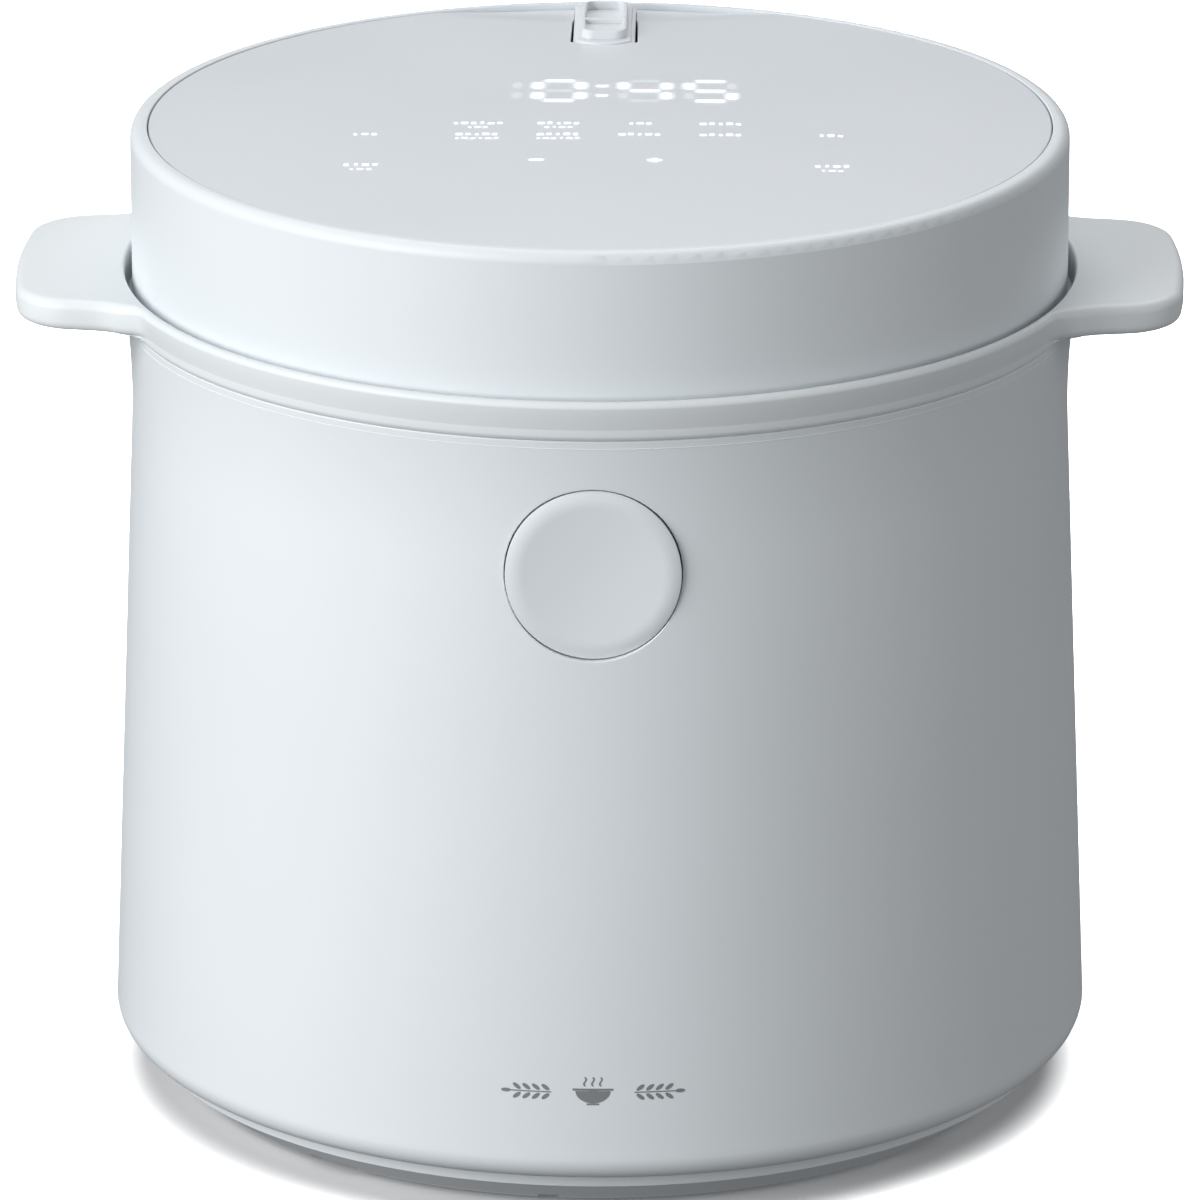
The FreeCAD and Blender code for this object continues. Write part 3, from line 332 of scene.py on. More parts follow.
for material, names in DRESS.items():
    for name in names.split():
        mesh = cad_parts[name].data
        mesh.materials.clear()
        mesh.materials.append(material)
print(sum(len(names.split()) for names in DRESS.values()), "frame parts dressed")

# %% [markdown]
# ## From an outline to a turned piece
# Almost every casing here is round, so the basic move is a spin: half an outline, turned about the axis.
# The corners of the outline carry a radius, because moulded parts have no knife edges and a rounded edge is
# what catches the light.

# %% Outlines with rounded corners, and the spin
def rounded(corners, segments=5):
    """An open outline: each corner is (radius, height) or (radius, height, rounding)."""
    outline = []
    for index, corner in enumerate(corners):
        point = Vector(corner[:2])
        if len(corner) == 2 or index in (0, len(corners) - 1):
            outline.append(point)
            continue
        back = (Vector(corners[index - 1][:2]) - point).normalized()
        ahead = (Vector(corners[index + 1][:2]) - point).normalized()
        half = back.angle(ahead) / 2
        reach = corner[2] / math.tan(half)
        centre = point + (back + ahead).normalized() * (corner[2] / math.sin(half))
        start = point + back * reach - centre
        turn = (math.pi - 2 * half) * (1 if back.cross(ahead) < 0 else -1)
        for step in range(segments + 1):
            outline.append(centre + Matrix.Rotation(turn * step / segments, 2) @ start)
    return outline


def spun(outline, steps=240, closed=True):
    """A bmesh made by turning an outline of (radius, height) about the upright axis."""
    bm = bmesh.new()
    verts = [bm.verts.new((point[0], 0, point[1])) for point in outline]
    pairs = list(zip(verts, verts[1:]))
    if closed:
        pairs.append((verts[-1], verts[0]))
    edges = [bm.edges.new(pair) for pair in pairs]
    bmesh.ops.spin(bm, geom=verts + edges, cent=(0, 0, 0), axis=(0, 0, 1), angle=math.tau, steps=steps,
                   use_merge=True)
    bmesh.ops.remove_doubles(bm, verts=bm.verts, dist=0.0004)
    return bm


def face_out(bm, core=Vector((0, 0, 120))):
    """Makes the faces agree, and turns them away from a point inside."""
    bmesh.ops.recalc_face_normals(bm, faces=bm.faces)
    if sum(face.normal.dot(face.calc_center_median() - core) * face.calc_area() for face in bm.faces) < 0:
        bmesh.ops.reverse_faces(bm, faces=bm.faces)


# %% [markdown]
# One more helper turns a finished bmesh into a piece: it shrinks millimetres to metres, marks edges sharper
# than 35 degrees, weights the normals by face area so that flat faces stay flat beside small roundings, and
# hangs the piece under the empty of the body it moves with, gives it its material and hides the parts it
# stands for.

# %% Bmesh to piece
def make_piece(bm, name, body, material, stands_for=(), wall=0.0, flat=False):
    if not wall and not flat:
        bmesh.ops.remove_doubles(bm, verts=bm.verts, dist=0.0004)
        bmesh.ops.recalc_face_normals(bm, faces=bm.faces)
    bmesh.ops.scale(bm, vec=(MM, MM, MM), verts=bm.verts)
    mesh = bpy.data.meshes.new(name)
    bm.to_mesh(mesh)
    bm.free()
    mesh.shade_smooth()
    mesh.set_sharp_from_angle(angle=math.radians(35))
    mesh.materials.append(material)
    piece = bpy.data.objects.new(name, mesh)
    bpy.context.scene.collection.objects.link(piece)
    if wall:
        shell = piece.modifiers.new("wall", "SOLIDIFY")
        shell.thickness = wall * MM
        shell.offset = -1
    weigh = piece.modifiers.new("flat faces", "WEIGHTED_NORMAL")
    weigh.keep_sharp = True
    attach(piece, body)
    if stands_for:
        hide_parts(*stands_for)
    print(f"{name}: {len(mesh.polygons)} faces")
    return piece


# %% [markdown]
# ## Opening a hole in a curved wall
# The button hole and the inlet window are cut into the round wall. A boolean would do it, but it leaves long
# thin faces that dent the reflection. Instead we take out a patch of faces and draw its rim in towards the
# hole, ring by ring, laying each new ring back on the surface, so the mesh stays even.

# %% Holes drawn ring by ring
def next_ring(bm, rim, goals, move):
    """Extrudes the rim once. move(old place, goal) gives each new vertex its place."""
    old = {vert for edge in rim for vert in edge.verts}
    made = bmesh.ops.extrude_edge_only(bm, edges=rim)["geom"]
    fresh = [item for item in made if isinstance(item, bmesh.types.BMVert)]
    carried = {}
    for vert in fresh:
        source = next(edge.other_vert(vert) for edge in vert.link_edges if edge.other_vert(vert) in old)
        carried[vert] = goals[source]
        vert.co = move(source.co, goals[source])
    edges = [edge for edge in bm.edges if edge.is_boundary and all(vert in carried for vert in edge.verts)]
    return edges, carried


def open_hole(bm, inside, goal, lay, rings=6):
    """Removes the faces inside, and draws the rim in to goal(place), laid on the surface by lay(place)."""
    ends = {edge for edge in bm.edges if edge.is_boundary}
    doomed = [face for face in bm.faces if inside(face.calc_center_median())]
    bmesh.ops.delete(bm, geom=doomed, context="FACES")
    rim = [edge for edge in bm.edges if edge.is_boundary and edge not in ends]
    goals = {vert: goal(vert.co.copy()) for edge in rim for vert in edge.verts}
    for ring in range(rings):
        share = 1 / (rings - ring)
        rim, goals = next_ring(bm, rim, goals, lambda place, end: lay(place.lerp(end, share)))
    return rim, goals


def roll_in(bm, rim, goals, centre, direction, radius, depth):
    """Rounds the hole's edge over and takes it inwards: a quarter circle, then a straight wall."""
    steps = 4
    for step in range(1, steps + 1):
        angle = math.radians(90 * step / steps)
        before = math.radians(90 * (step - 1) / steps)
        shrink = radius * (math.sin(angle) - math.sin(before))
        sink = radius * (math.cos(before) - math.cos(angle))

        def move(place, end):
            flat = centre - place
            flat -= direction * flat.dot(direction)
            return place + flat.normalized() * shrink + direction * sink

        rim, goals = next_ring(bm, rim, goals, move)
    return next_ring(bm, rim, goals, lambda place, end: place + direction * depth)


# %% [markdown]
# ## The body wall
# The wall leans in by about 6 mm from belly to waist, flares a hair under the collar, and curls in at the
# heel. Its radius at any height is a short formula, which the holes need too.

# %% The wall's outline as a formula
BELLY_Z = 18.4
WAIST_Z, WAIST_RADIUS = 168.0, 115.6
SEAM_Z, SEAM_RADIUS = wall_high.z, 116.8
HEEL_RADIUS, HEEL_Z = 115.5, wall_low.z


def wall_radius(z):
    """The outside radius of the wall between the belly and the top seam."""
    if z <= WAIST_Z:
        return BELLY_RADIUS + (WAIST_RADIUS - BELLY_RADIUS) * (z - BELLY_Z) / (WAIST_Z - BELLY_Z)
    up = (z - WAIST_Z) / (SEAM_Z - WAIST_Z)
    lean = (WAIST_RADIUS - BELLY_RADIUS) / (WAIST_Z - BELLY_Z) * (SEAM_Z - WAIST_Z)
    return WAIST_RADIUS + lean * up + (SEAM_RADIUS - WAIST_RADIUS - lean) * up * up


def heel():
    """The curl under the belly, as an arc from the base seam up to the belly."""
    start, end = Vector((HEEL_RADIUS, HEEL_Z)), Vector((BELLY_RADIUS, BELLY_Z))
    radius, chord = 6.2, end - start
    centre = (start + end) / 2 + Vector((-chord.y, chord.x)).normalized() * math.sqrt(
        radius ** 2 - chord.length_squared / 4)
    first = (start - centre)
    turn = first.angle(end - centre)
    return [centre + Matrix.Rotation(turn * step / 10, 2) @ first for step in range(11)]


print(f"the wall is {wall_radius(BELLY_Z):.1f} at the belly and {wall_radius(SEAM_Z):.1f} at the seam")

# %% [markdown]
# The rows of faces are evenly spaced up the wall, so the inlet window can take out whole rows. The button
# hole can't, and its rim is simply drawn in to a circle that lies on the wall.

# %% Turn the wall and open its holes
WALL_ROWS = 46
ROW_HIGH = (SEAM_Z - 0.5 - BELLY_Z) / WALL_ROWS
WINDOW_HALF, WINDOW_LOW, WINDOW_HIGH = 21.0, BELLY_Z, BELLY_Z + 8 * ROW_HIGH
BUTTON_GAP, BUTTON_EDGE = 0.38, 0.3
INLET_GAP = 0.25


def on_wall(place, side):
    """Lays a place on the wall; side is -1 for the front and 1 for the back."""
    return Vector((place.x, side * math.sqrt(wall_radius(place.z) ** 2 - place.x ** 2), place.z))


def in_window(c):
    return c.y > 0 and abs(c.x) < WINDOW_HALF and WINDOW_LOW < c.z < WINDOW_HIGH


def body_wall():
    climb = [Vector((wall_radius(BELLY_Z + ROW_HIGH * step), BELLY_Z + ROW_HIGH * step))
             for step in range(1, WALL_ROWS + 1)]
    lip = rounded([climb[-1], (SEAM_RADIUS, SEAM_Z, 0.45), (SEAM_RADIUS - 2.6, SEAM_Z)])[1:]
    outline = [Vector((HEEL_RADIUS - 6, HEEL_Z))] + heel() + climb + lip
    bm = spun(outline, closed=False)
    face_out(bm)

    def to_circle(place):
        reach = BUTTON_RADIUS + BUTTON_GAP + BUTTON_EDGE
        away = Vector((place.x, 0, place.z - BUTTON_Z)).normalized() * reach
        return Vector((away.x, place.y, BUTTON_Z + away.z))

    rim, goals = open_hole(bm, lambda c: c.y < 0 and abs(c.x) < 27.5 and abs(c.z - BUTTON_Z) < 26,
                           to_circle, lambda place: on_wall(place, -1))
    roll_in(bm, rim, goals, Vector((0, 0, BUTTON_Z)), Vector((0, 1, 0)), BUTTON_EDGE, 3.0)

    inlet_z = (inlet_low.z + inlet_high.z) / 2
    half_wide, half_high = inlet_high.x + INLET_GAP, (inlet_high.z - inlet_low.z) / 2 + INLET_GAP
    window_edge = max(abs(vert.co.x) for face in bm.faces if in_window(face.calc_center_median())
                      for vert in face.verts)

    def to_window(place):
        across = max(-1, min(1, place.x / window_edge))
        up = (place.z - WINDOW_LOW) / (WINDOW_HIGH - WINDOW_LOW) * 2 - 1
        return Vector((across * half_wide, place.y, inlet_z + max(-1, min(1, up)) * half_high))

    rim, goals = open_hole(bm, in_window, to_window, lambda place: on_wall(place, 1), 4)
    next_ring(bm, rim, goals, lambda place, end: place + Vector((0, -3.0, 0)))
    return make_piece(bm, "body_wall", "root", shell_white, ["outer_shell"], wall=1.6)


body_wall()

# %% [markdown]
# ## The collar and its two lugs
# The collar is a ring with a flat crest, and each lug grows out of it at the same height. We could join a
# ring and two blocks, but then the concave blend at the root has to be faked. So the plan outline is drawn
# once, with the blends in it, and that loop is extruded up and over: at each level a vertex sits between
# where the ring's own section wants it and where the lug's section wants it.

# %% The collar's plan outline
RING_FACE = 119.4
LUG = {"blend": (107.95, 51.05), "root": (122.0, 39.5), "side": (128.5, 38.5), "corner": (142.0, 24.5)}


def arc_points(start, end, radius, count):
    """Points after start up to end on a short arc; a negative radius bends the other way."""
    start, end = Vector(start), Vector(end)
    chord = end - start
    side = Vector((-chord.y, chord.x)).normalized() * math.copysign(1, radius)
    centre = (start + end) / 2 + side * math.sqrt(radius ** 2 - chord.length_squared / 4)
    spoke = start - centre
    turn = spoke.angle(end - centre) * math.copysign(1, radius)
    return [centre + Matrix.Rotation(turn * step / count, 2) @ spoke for step in range(1, count + 1)]


def lug_half():
    """The +X lug's outline from the tip's middle round to where it leaves the ring, for y above 0."""
    tip = Vector((143.37, 0))
    points = [tip]
    points += arc_points(tip, LUG["corner"], 219.8, 8)
    points += arc_points(LUG["corner"], LUG["side"], 16.0, 14)
    points += [Vector(LUG["side"]).lerp(Vector(LUG["root"]), share) for share in (0.33, 0.67, 1)]
    points += arc_points(LUG["root"], LUG["blend"], -19.8, 14)
    return points


def collar_outline():
    """The whole plan outline, anticlockwise from +X."""
    quarter = lug_half()
    start = math.atan2(quarter[-1].y, quarter[-1].x)
    count = 42
    for step in range(1, count + 1):
        angle = start + (math.pi / 2 - start) * step / count
        quarter.append(Vector((RING_FACE * math.cos(angle), RING_FACE * math.sin(angle))))
    half = quarter + [Vector((-point.x, point.y)) for point in reversed(quarter[:-1])]
    return half + [Vector((point.x, -point.y)) for point in reversed(half[1:-1])]


COLLAR_OUTLINE = collar_outline()
print(len(COLLAR_OUTLINE), "points round the collar")

# %% [markdown]
# The levels below give two sections side by side: (ring radius, height) and (how far in from the lug's
# outline, height). The lug has a rounder edge, a flat underside, and a soft fillet back to the wall. At the
# back the crest dips under the lid's knuckle, which needs room to turn.

# %% Loft the collar
def quarter_turn(steps):
    return [math.radians(90 * step / steps) for step in range(steps + 1)]


def collar_levels():
    """Rows of (ring radius, ring z, lug inset, lug z), from the top edge out and down."""
    rounding, under = 2.3, 199.4
    levels = []
    for angle in quarter_turn(5):
        ring = (RING_FACE - 1.4 + 1.4 * math.sin(angle), CREST_Z - 1.6 + 1.6 * math.cos(angle))
        levels.append((*ring, rounding * (1 - math.sin(angle)), CREST_Z - rounding * (1 - math.cos(angle))))
    levels.append((118.9, 203.4, 0.0, 203.2))
    for angle in quarter_turn(5):
        share = angle / (math.pi / 2)
        levels.append((118.6 - 0.8 * share, 202.3 - 2.7 * share, rounding * (1 - math.cos(angle)),
                       under + rounding * (1 - math.sin(angle))))
    return levels


KNUCKLE_ROOM, KNUCKLE_HALF = 5.7, 20
LUG_FADE = 4.0


def collar_ring():
    bm = bmesh.new()
    flat = [Vector((point.x, point.y, 0)) for point in COLLAR_OUTLINE]
    count = len(flat)
    inward = []
    for index, point in enumerate(flat):
        along = (flat[(index + 1) % count] - flat[index - 1]).normalized()
        inward.append(Vector((-along.y, along.x, 0)))
    share = [min(1.0, max(0.0, (point.length - RING_FACE) / LUG_FADE)) for point in flat]
    weight = [value * value * (3 - 2 * value) for value in share]

    def level(ring_radius, ring_z, inset, lug_z):
        places = []
        for index, point in enumerate(flat):
            spoke = point.normalized()
            ring = spoke * ring_radius + Vector((0, 0, ring_z))
            lug = point + inward[index] * inset
            if lug.length < ring_radius:
                lug = spoke * ring_radius
            places.append(ring.lerp(lug + Vector((0, 0, lug_z)), weight[index]))
        return places

    def circle(radius, z, lug_radius=None, lug_z=None):
        places = []
        for index, point in enumerate(flat):
            spoke = point.normalized()
            ring = spoke * radius + Vector((0, 0, z))
            if lug_radius is None:
                places.append(ring)
                continue
            reach = min(lug_radius, max(radius, point.length - 2.4))
            places.append(ring.lerp(spoke * reach + Vector((0, 0, lug_z)), weight[index]))
        return places

    loops = [circle(116.6, 198.6), circle(116.9, 205.9)]
    loops += [circle(117.0 + 0.6 * (1 - math.cos(a)), 206.3 + 0.7 * math.sin(a)) for a in quarter_turn(3)]
    rows = [level(*row) for row in collar_levels()]
    crest = loops[-1]
    loops += [[inner.lerp(edge, part) for inner, edge in zip(crest, rows[0])] for part in (0.3, 0.6, 0.85)]
    loops += rows
    loops.append(circle(117.8, 199.2, 123.2, 199.35))
    for angle in quarter_turn(5):
        part = angle / (math.pi / 2)
        loops.append(circle(117.75 - 0.45 * part, 199.1 - 1.7 * part, 117.5 + 4.2 * (1 - math.sin(angle)),
                            197.4 + 1.9 * math.cos(angle)))
    loops.append(circle(117.0, 197.2))
    loops.append(circle(113.0, 197.2))
    first = [bm.verts.new(place) for place in loops[0]]
    rim = [bm.edges.new((first[index], first[(index + 1) % count])) for index in range(count)]
    order = {vert: index for index, vert in enumerate(first)}
    for places in loops[1:]:
        rim, order = next_ring(bm, rim, order, lambda place, index: place)
        for vert, index in order.items():
            vert.co = places[index]
    bmesh.ops.bridge_loops(bm, edges=[edge for edge in bm.edges if edge.is_boundary])
    for vert in bm.verts:
        reach = vert.co.y - PIN_Y
        if abs(vert.co.x) < KNUCKLE_HALF and abs(reach) < KNUCKLE_ROOM:
            vert.co.z = min(vert.co.z, PIN_Z - math.sqrt(KNUCKLE_ROOM ** 2 - reach ** 2))
    face_out(bm)
    return make_piece(bm, "collar_ring", "root", collar_white, ["collar"])


collar_ring()

# %% [markdown]
# ## The well under the lid
# Inside the collar lies a deck. The pot's rim rests on a raised ledge, the lid's lower edge sinks into the
# trough round it, and a slot at the front lets the lid's catch through to the latch.

# %% The deck with the catch slot
LEDGE_Z, TROUGH_Z = 198.9, 197.9
DECK_STEP = 2.2
CATCH_MIDDLE, CATCH_HALF_X, CATCH_HALF_Y = Vector((0, -101.2, 0)), 7.5, 3.0


def well_deck():
    corners = rounded([(116.8, 202.0), (116.6, TROUGH_Z, 0.8), (104.0, TROUGH_Z, 0.4), (103.2, LEDGE_Z, 0.3),
                       (92.5, LEDGE_Z, 0.5), (92.5, 190.0)], 3)
    section = []
    for before, after in zip(corners, corners[1:]):
        pieces = max(1, round((after - before).length / DECK_STEP))
        section += [before.lerp(after, step / pieces) for step in range(pieces)]
    bm = spun(section + [corners[-1]], closed=False)
    bmesh.ops.recalc_face_normals(bm, faces=bm.faces)
    if sum(face.normal.z for face in bm.faces) < 0:
        bmesh.ops.reverse_faces(bm, faces=bm.faces)

    def at_catch(c):
        return c.y < 0 and abs(c.x) < 10 and 97.0 < math.hypot(c.x, c.y) < 107.0 and c.z > 197.5

    def to_slot(place):
        away = place - CATCH_MIDDLE
        scale = max(abs(away.x) / CATCH_HALF_X, abs(away.y) / CATCH_HALF_Y)
        return Vector((CATCH_MIDDLE.x + away.x / scale, CATCH_MIDDLE.y + away.y / scale, LEDGE_Z))

    rim, goals = open_hole(bm, at_catch, to_slot, lambda place: place, 3)
    next_ring(bm, rim, goals, lambda place, end: place - Vector((0, 0, 3.5)))
    return make_piece(bm, "well_deck", "root", collar_white, wall=1.2)


well_deck()

# %% [markdown]
# ## The touch panel
# A slightly crowned disc, 1 mm higher in the middle, so the light slides across it. The steam cap drops into
# an opening at the back, with room for a fingertip at each side.

# %% The panel
CROWN_ROUND = 5550.0
PANEL_TOP = 243.2
SCOOP_START, SCOOP_LONG, SCOOP_DEEP = 91, 16, 1.3


def crown_z(radius):
    return PANEL_TOP - radius ** 2 / (2 * CROWN_ROUND)


def panel_z(place):
    """The crown, with a scoop towards the back edge where a finger gets behind the steam cap."""
    into = max(0.0, min(1.0, (place.y - SCOOP_START - 0.0045 * place.x ** 2) / SCOOP_LONG))
    return crown_z(place.xy.length) - SCOOP_DEEP * into * into * (3 - 2 * into)


CAP_HALF, CAP_FRONT, CAP_BACK, CAP_BOW = cap_high.x, cap_low.y, cap_high.y, 3.5
END_GAP, SIDE_GAP, BACK_SIDE_GAP = 0.35, 0.8, 0.25


def cap_front(x, gap=0.0):
    """The bowed front edge of the steam cap, as y at x."""
    return CAP_FRONT - gap + CAP_BOW * (x / (CAP_HALF + gap)) ** 2


# %% [markdown]
# The rings of the panel are closer together where the opening is. Its slots are wide enough for a fingertip
# in front, and close up to a thin seam at the back.

# %% Turn the panel and open it for the cap
FIRST_RING, LAST_RING, RINGS = 62.55, 108.45, 18


def touch_panel():
    ring_step = (LAST_RING - FIRST_RING) / RINGS
    radii = [step * 8 for step in range(8)] + [FIRST_RING + ring_step * step for step in range(-1, RINGS + 1)]
    top = [Vector((radius, crown_z(radius))) for radius in radii]
    rim_z = crown_z(PANEL_RADIUS)
    edge = rounded([top[-1], (PANEL_RADIUS, rim_z, 0.4), (PANEL_RADIUS, 236.8)], 5)[1:]
    bm = spun(top + edge, closed=False)
    face_out(bm, Vector((0, 0, 200)))
    for vert in bm.verts:
        if vert.co.z > rim_z - 0.5:
            vert.co.z += panel_z(vert.co) - crown_z(vert.co.xy.length)
    half_angle = math.radians(9.0)

    def inside(c):
        in_sector = c.y > 0 and abs(math.atan2(c.x, c.y)) < half_angle
        return in_sector and FIRST_RING < math.hypot(c.x, c.y) < LAST_RING

    def to_opening(place):
        across = max(-1.0, min(1.0, math.atan2(place.x, place.y) / half_angle))
        share = max(0.0, min(1.0, (place.xy.length - FIRST_RING) / (LAST_RING - FIRST_RING)))
        close = max(0.0, min(1.0, (share - 0.55) / 0.15))
        x = across * (CAP_HALF + SIDE_GAP + (BACK_SIDE_GAP - SIDE_GAP) * close)
        front = cap_front(x, END_GAP)
        return Vector((x, front + (CAP_BACK + END_GAP - front) * share, 0))

    def on_panel(place):
        return Vector((place.x, place.y, panel_z(place)))

    rim, goals = open_hole(bm, inside, to_opening, on_panel, 3)
    roll_in(bm, rim, goals, Vector((0, (CAP_FRONT + CAP_BACK) / 2, 0)), Vector((0, 0, -1)), 0.25, 5.0)
    return make_piece(bm, "touch_panel", "lid", panel_white, ["top_panel"], wall=1.6)


touch_panel()

# %% [markdown]
# ## The lid button
# A thumb-sized disc: a soft ridge runs round its edge, and inside the ridge it is dished, so that a thumb
# finds the middle. It is turned about its own axis and laid on its back.

# %% The button
def thumb_button():
    ridge, dish, edge_drop = 18.9, 0.9, 0.75
    sphere = (ridge ** 2 + dish ** 2) / (2 * dish)
    radii = (0, 3, 6, 9, 12, 14.5, 16.5)
    hollow = [Vector((radius, -dish + radius ** 2 / (2 * sphere))) for radius in radii]
    side = BUTTON_RADIUS - 1.8
    edge = rounded([hollow[-1], (ridge, 0, 9.0), (BUTTON_RADIUS, -edge_drop, 0.5), (BUTTON_RADIUS, -4.4, 0.3),
                    (side, -4.4, 0.2), (side, -3.1), (4.0, -3.1), (4.0, -10.7), (1.5, -10.7), (1.5, -11.6),
                    (0, -11.6)], 7)[1:]
    bm = spun(hollow + edge, 180)
    bmesh.ops.rotate(bm, verts=bm.verts, matrix=Matrix.Rotation(math.radians(90), 3, "X"))
    bmesh.ops.translate(bm, verts=bm.verts, vec=(0, button_low.y, BUTTON_Z))
    return make_piece(bm, "thumb_button", "lid_button", shell_white, ["lid_button"])


thumb_button()

# %% [markdown]
# ## The hinge ears
# Two ears stand on the collar behind the lid and carry its pin. Each is a disc on a short post. Two plain
# solids may simply overlap, because both are the same plastic and the join is inside.

# %% Ears
EAR_X, EAR_WIDE, EAR_RADIUS, EAR_TALL = 26.5, 9, 5, 12


def hinge_ears():
    bm = bmesh.new()
    for middle in (-EAR_X, EAR_X):
        disc = bmesh.ops.create_cone(bm, cap_ends=True, segments=48, radius1=EAR_RADIUS, radius2=EAR_RADIUS,
                                     depth=EAR_WIDE)["verts"]
        bmesh.ops.rotate(bm, verts=disc, matrix=Matrix.Rotation(math.pi / 2, 3, "Y"))
        bmesh.ops.translate(bm, verts=disc, vec=(middle, PIN_Y, PIN_Z))
        post = bmesh.ops.create_cube(bm, size=1)["verts"]
        bmesh.ops.scale(bm, vec=(EAR_WIDE, EAR_RADIUS, EAR_TALL), verts=post)
        bmesh.ops.translate(bm, verts=post, vec=(middle, PIN_Y + EAR_RADIUS / 2, PIN_Z - EAR_TALL / 2))
    edges = [edge for edge in bm.edges if edge.calc_face_angle() > 0.5]
    bmesh.ops.bevel(bm, geom=edges, offset=0.5, segments=3, profile=0.5, affect="EDGES", material=-1)
    return make_piece(bm, "hinge_ears", "root", collar_white)


hinge_ears()

# %% [markdown]
# ## The steam cap
# The cap lifts out for washing. Its plate fills the opening, bowed at the front, with a step round its top.
# On the plate stands a ridge round two openings: a shallow one that a fingertip hooks, and the steam hole.
# Both parts start as one flat face. Bevelled corners round it, and insets and extrusions do the rest.

# %% The cap's plate
def rise(bm, faces, height):
    """Extrudes faces straight up or down, and returns the moved faces."""
    made = bmesh.ops.extrude_face_region(bm, geom=faces)["geom"]
    verts = [item for item in made if isinstance(item, bmesh.types.BMVert)]
    bmesh.ops.translate(bm, verts=verts, vec=(0, 0, height))
    bmesh.ops.delete(bm, geom=[face for face in faces if face.is_valid], context="FACES_ONLY")
    return [item for item in made if isinstance(item, bmesh.types.BMFace)]


def soften(bm, width, angle=0.6, segments=3):
    """Rounds every edge that turns by more than an angle."""
    edges = [edge for edge in bm.edges if edge.is_manifold and edge.calc_face_angle(0) > angle]
    bmesh.ops.bevel(bm, geom=edges, offset=width, segments=segments, profile=0.5, affect="EDGES", material=-1)


CAP_TOP, CAP_DEEP = PANEL_TOP - 0.75, 5


def cap_plate():
    bm = bmesh.new()
    bmesh.ops.create_grid(bm, x_segments=14, y_segments=2, size=1)
    for vert in bm.verts:
        x = vert.co.x * CAP_HALF
        front = cap_front(x)
        vert.co = Vector((x, front + (CAP_BACK - front) * (vert.co.y + 1) / 2, CAP_TOP - CAP_DEEP))
    bmesh.ops.dissolve_faces(bm, faces=bm.faces)
    top = rise(bm, bm.faces[:], CAP_DEEP)
    bmesh.ops.inset_region(bm, faces=top, thickness=1.1)
    rise(bm, top, 0.55)
    soften(bm, 0.22)
    return make_piece(bm, "cap_plate", "steam_cap", cap_white, ["steam_cap_base"])


cap_plate()

# %% The ridge with its two openings
RIDGE_TOP = span("steam_cap_top")[1].z
RIDGE_FOOT = CAP_TOP + 0.3


def cap_ridge():
    half, front, back, bar = 5.7, 73.0, 103.4, 85.6
    bm = bmesh.new()
    bmesh.ops.create_grid(bm, x_segments=1, y_segments=1, size=1)
    bmesh.ops.scale(bm, vec=(half, (back - front) / 2, 1), verts=bm.verts)
    bmesh.ops.translate(bm, verts=bm.verts, vec=(0, (front + back) / 2, RIDGE_FOOT))
    bmesh.ops.bevel(bm, geom=bm.verts[:], offset=3.1, segments=8, profile=0.5, affect="VERTICES", material=-1)
    rise(bm, bm.faces[:], RIDGE_TOP - RIDGE_FOOT)
    bmesh.ops.bisect_plane(bm, geom=bm.verts[:] + bm.edges[:] + bm.faces[:], plane_co=(0, bar, 0),
                           plane_no=(0, 1, 0))
    top = [face for face in bm.faces if face.normal.z > 0.9 or face.calc_center_median().z > RIDGE_TOP - 0.01]
    bmesh.ops.inset_individual(bm, faces=top, thickness=1.15)
    for face in top:
        deep = 1.3 if face.calc_center_median().y < bar else 6.0
        rise(bm, [face], -deep)
    soften(bm, 0.3)
    return make_piece(bm, "cap_ridge", "steam_cap", cap_white, ["steam_cap_top"])


cap_ridge()

# %% [markdown]
# ## The light behind the panel
# The panel is thin enough for lamps to shine through, so the digits look like soft blobs with a halo. Each
# lamp is a small card that floats just above the panel. The card's UV map runs in millimetres from its
# centre, and an attribute holds the lit bar's half size, its brightness and its spread, so one material draws
# every lamp. Digits have open chambers and spread wide; the small marks under them sit in tight masks.

# %% The lamp finish
TIGHT_REACH, WIDE_REACH = 0.8, 3.0


def lamp_glow():
    finish = Finish("lamp_glow")
    uv = finish.add("ShaderNodeUVMap", {"uv_map": "card"})
    size = finish.add("ShaderNodeAttribute", {"attribute_name": "bar"}, output="Vector")
    spread = finish.add("ShaderNodeAttribute", {"attribute_name": "bar"}, output="Alpha")

    def parts(vector, axes):
        return [finish.add("ShaderNodeSeparateXYZ", None, {"Vector": vector}, axis) for axis in axes]

    across, along = parts(uv, "XY")
    half_x, half_y, bright = parts(size, "XYZ")
    out_x = (across.maths("ABSOLUTE") - half_x).maths("MAXIMUM", 0)
    out_y = (along.maths("ABSOLUTE") - half_y).maths("MAXIMUM", 0)
    far = (out_x * out_x + out_y * out_y).maths("SQRT")
    soft = 0.42 + spread * 0.98
    core = 1 - far.step(soft * 0.35, soft)
    halo = 1 - far.step(0.0, TIGHT_REACH + spread * (WIDE_REACH - TIGHT_REACH))
    shine = core.maths("MAXIMUM", halo * halo * (0.2 + spread * 0.4)) * bright
    finish.set(Base_Color=rgb(0.9, 0.93, 1.0), Emission_Color=rgb(0.95, 0.98, 1.0), Emission_Strength=0.75,
               Alpha=shine, Roughness=0.5)
    return finish.material


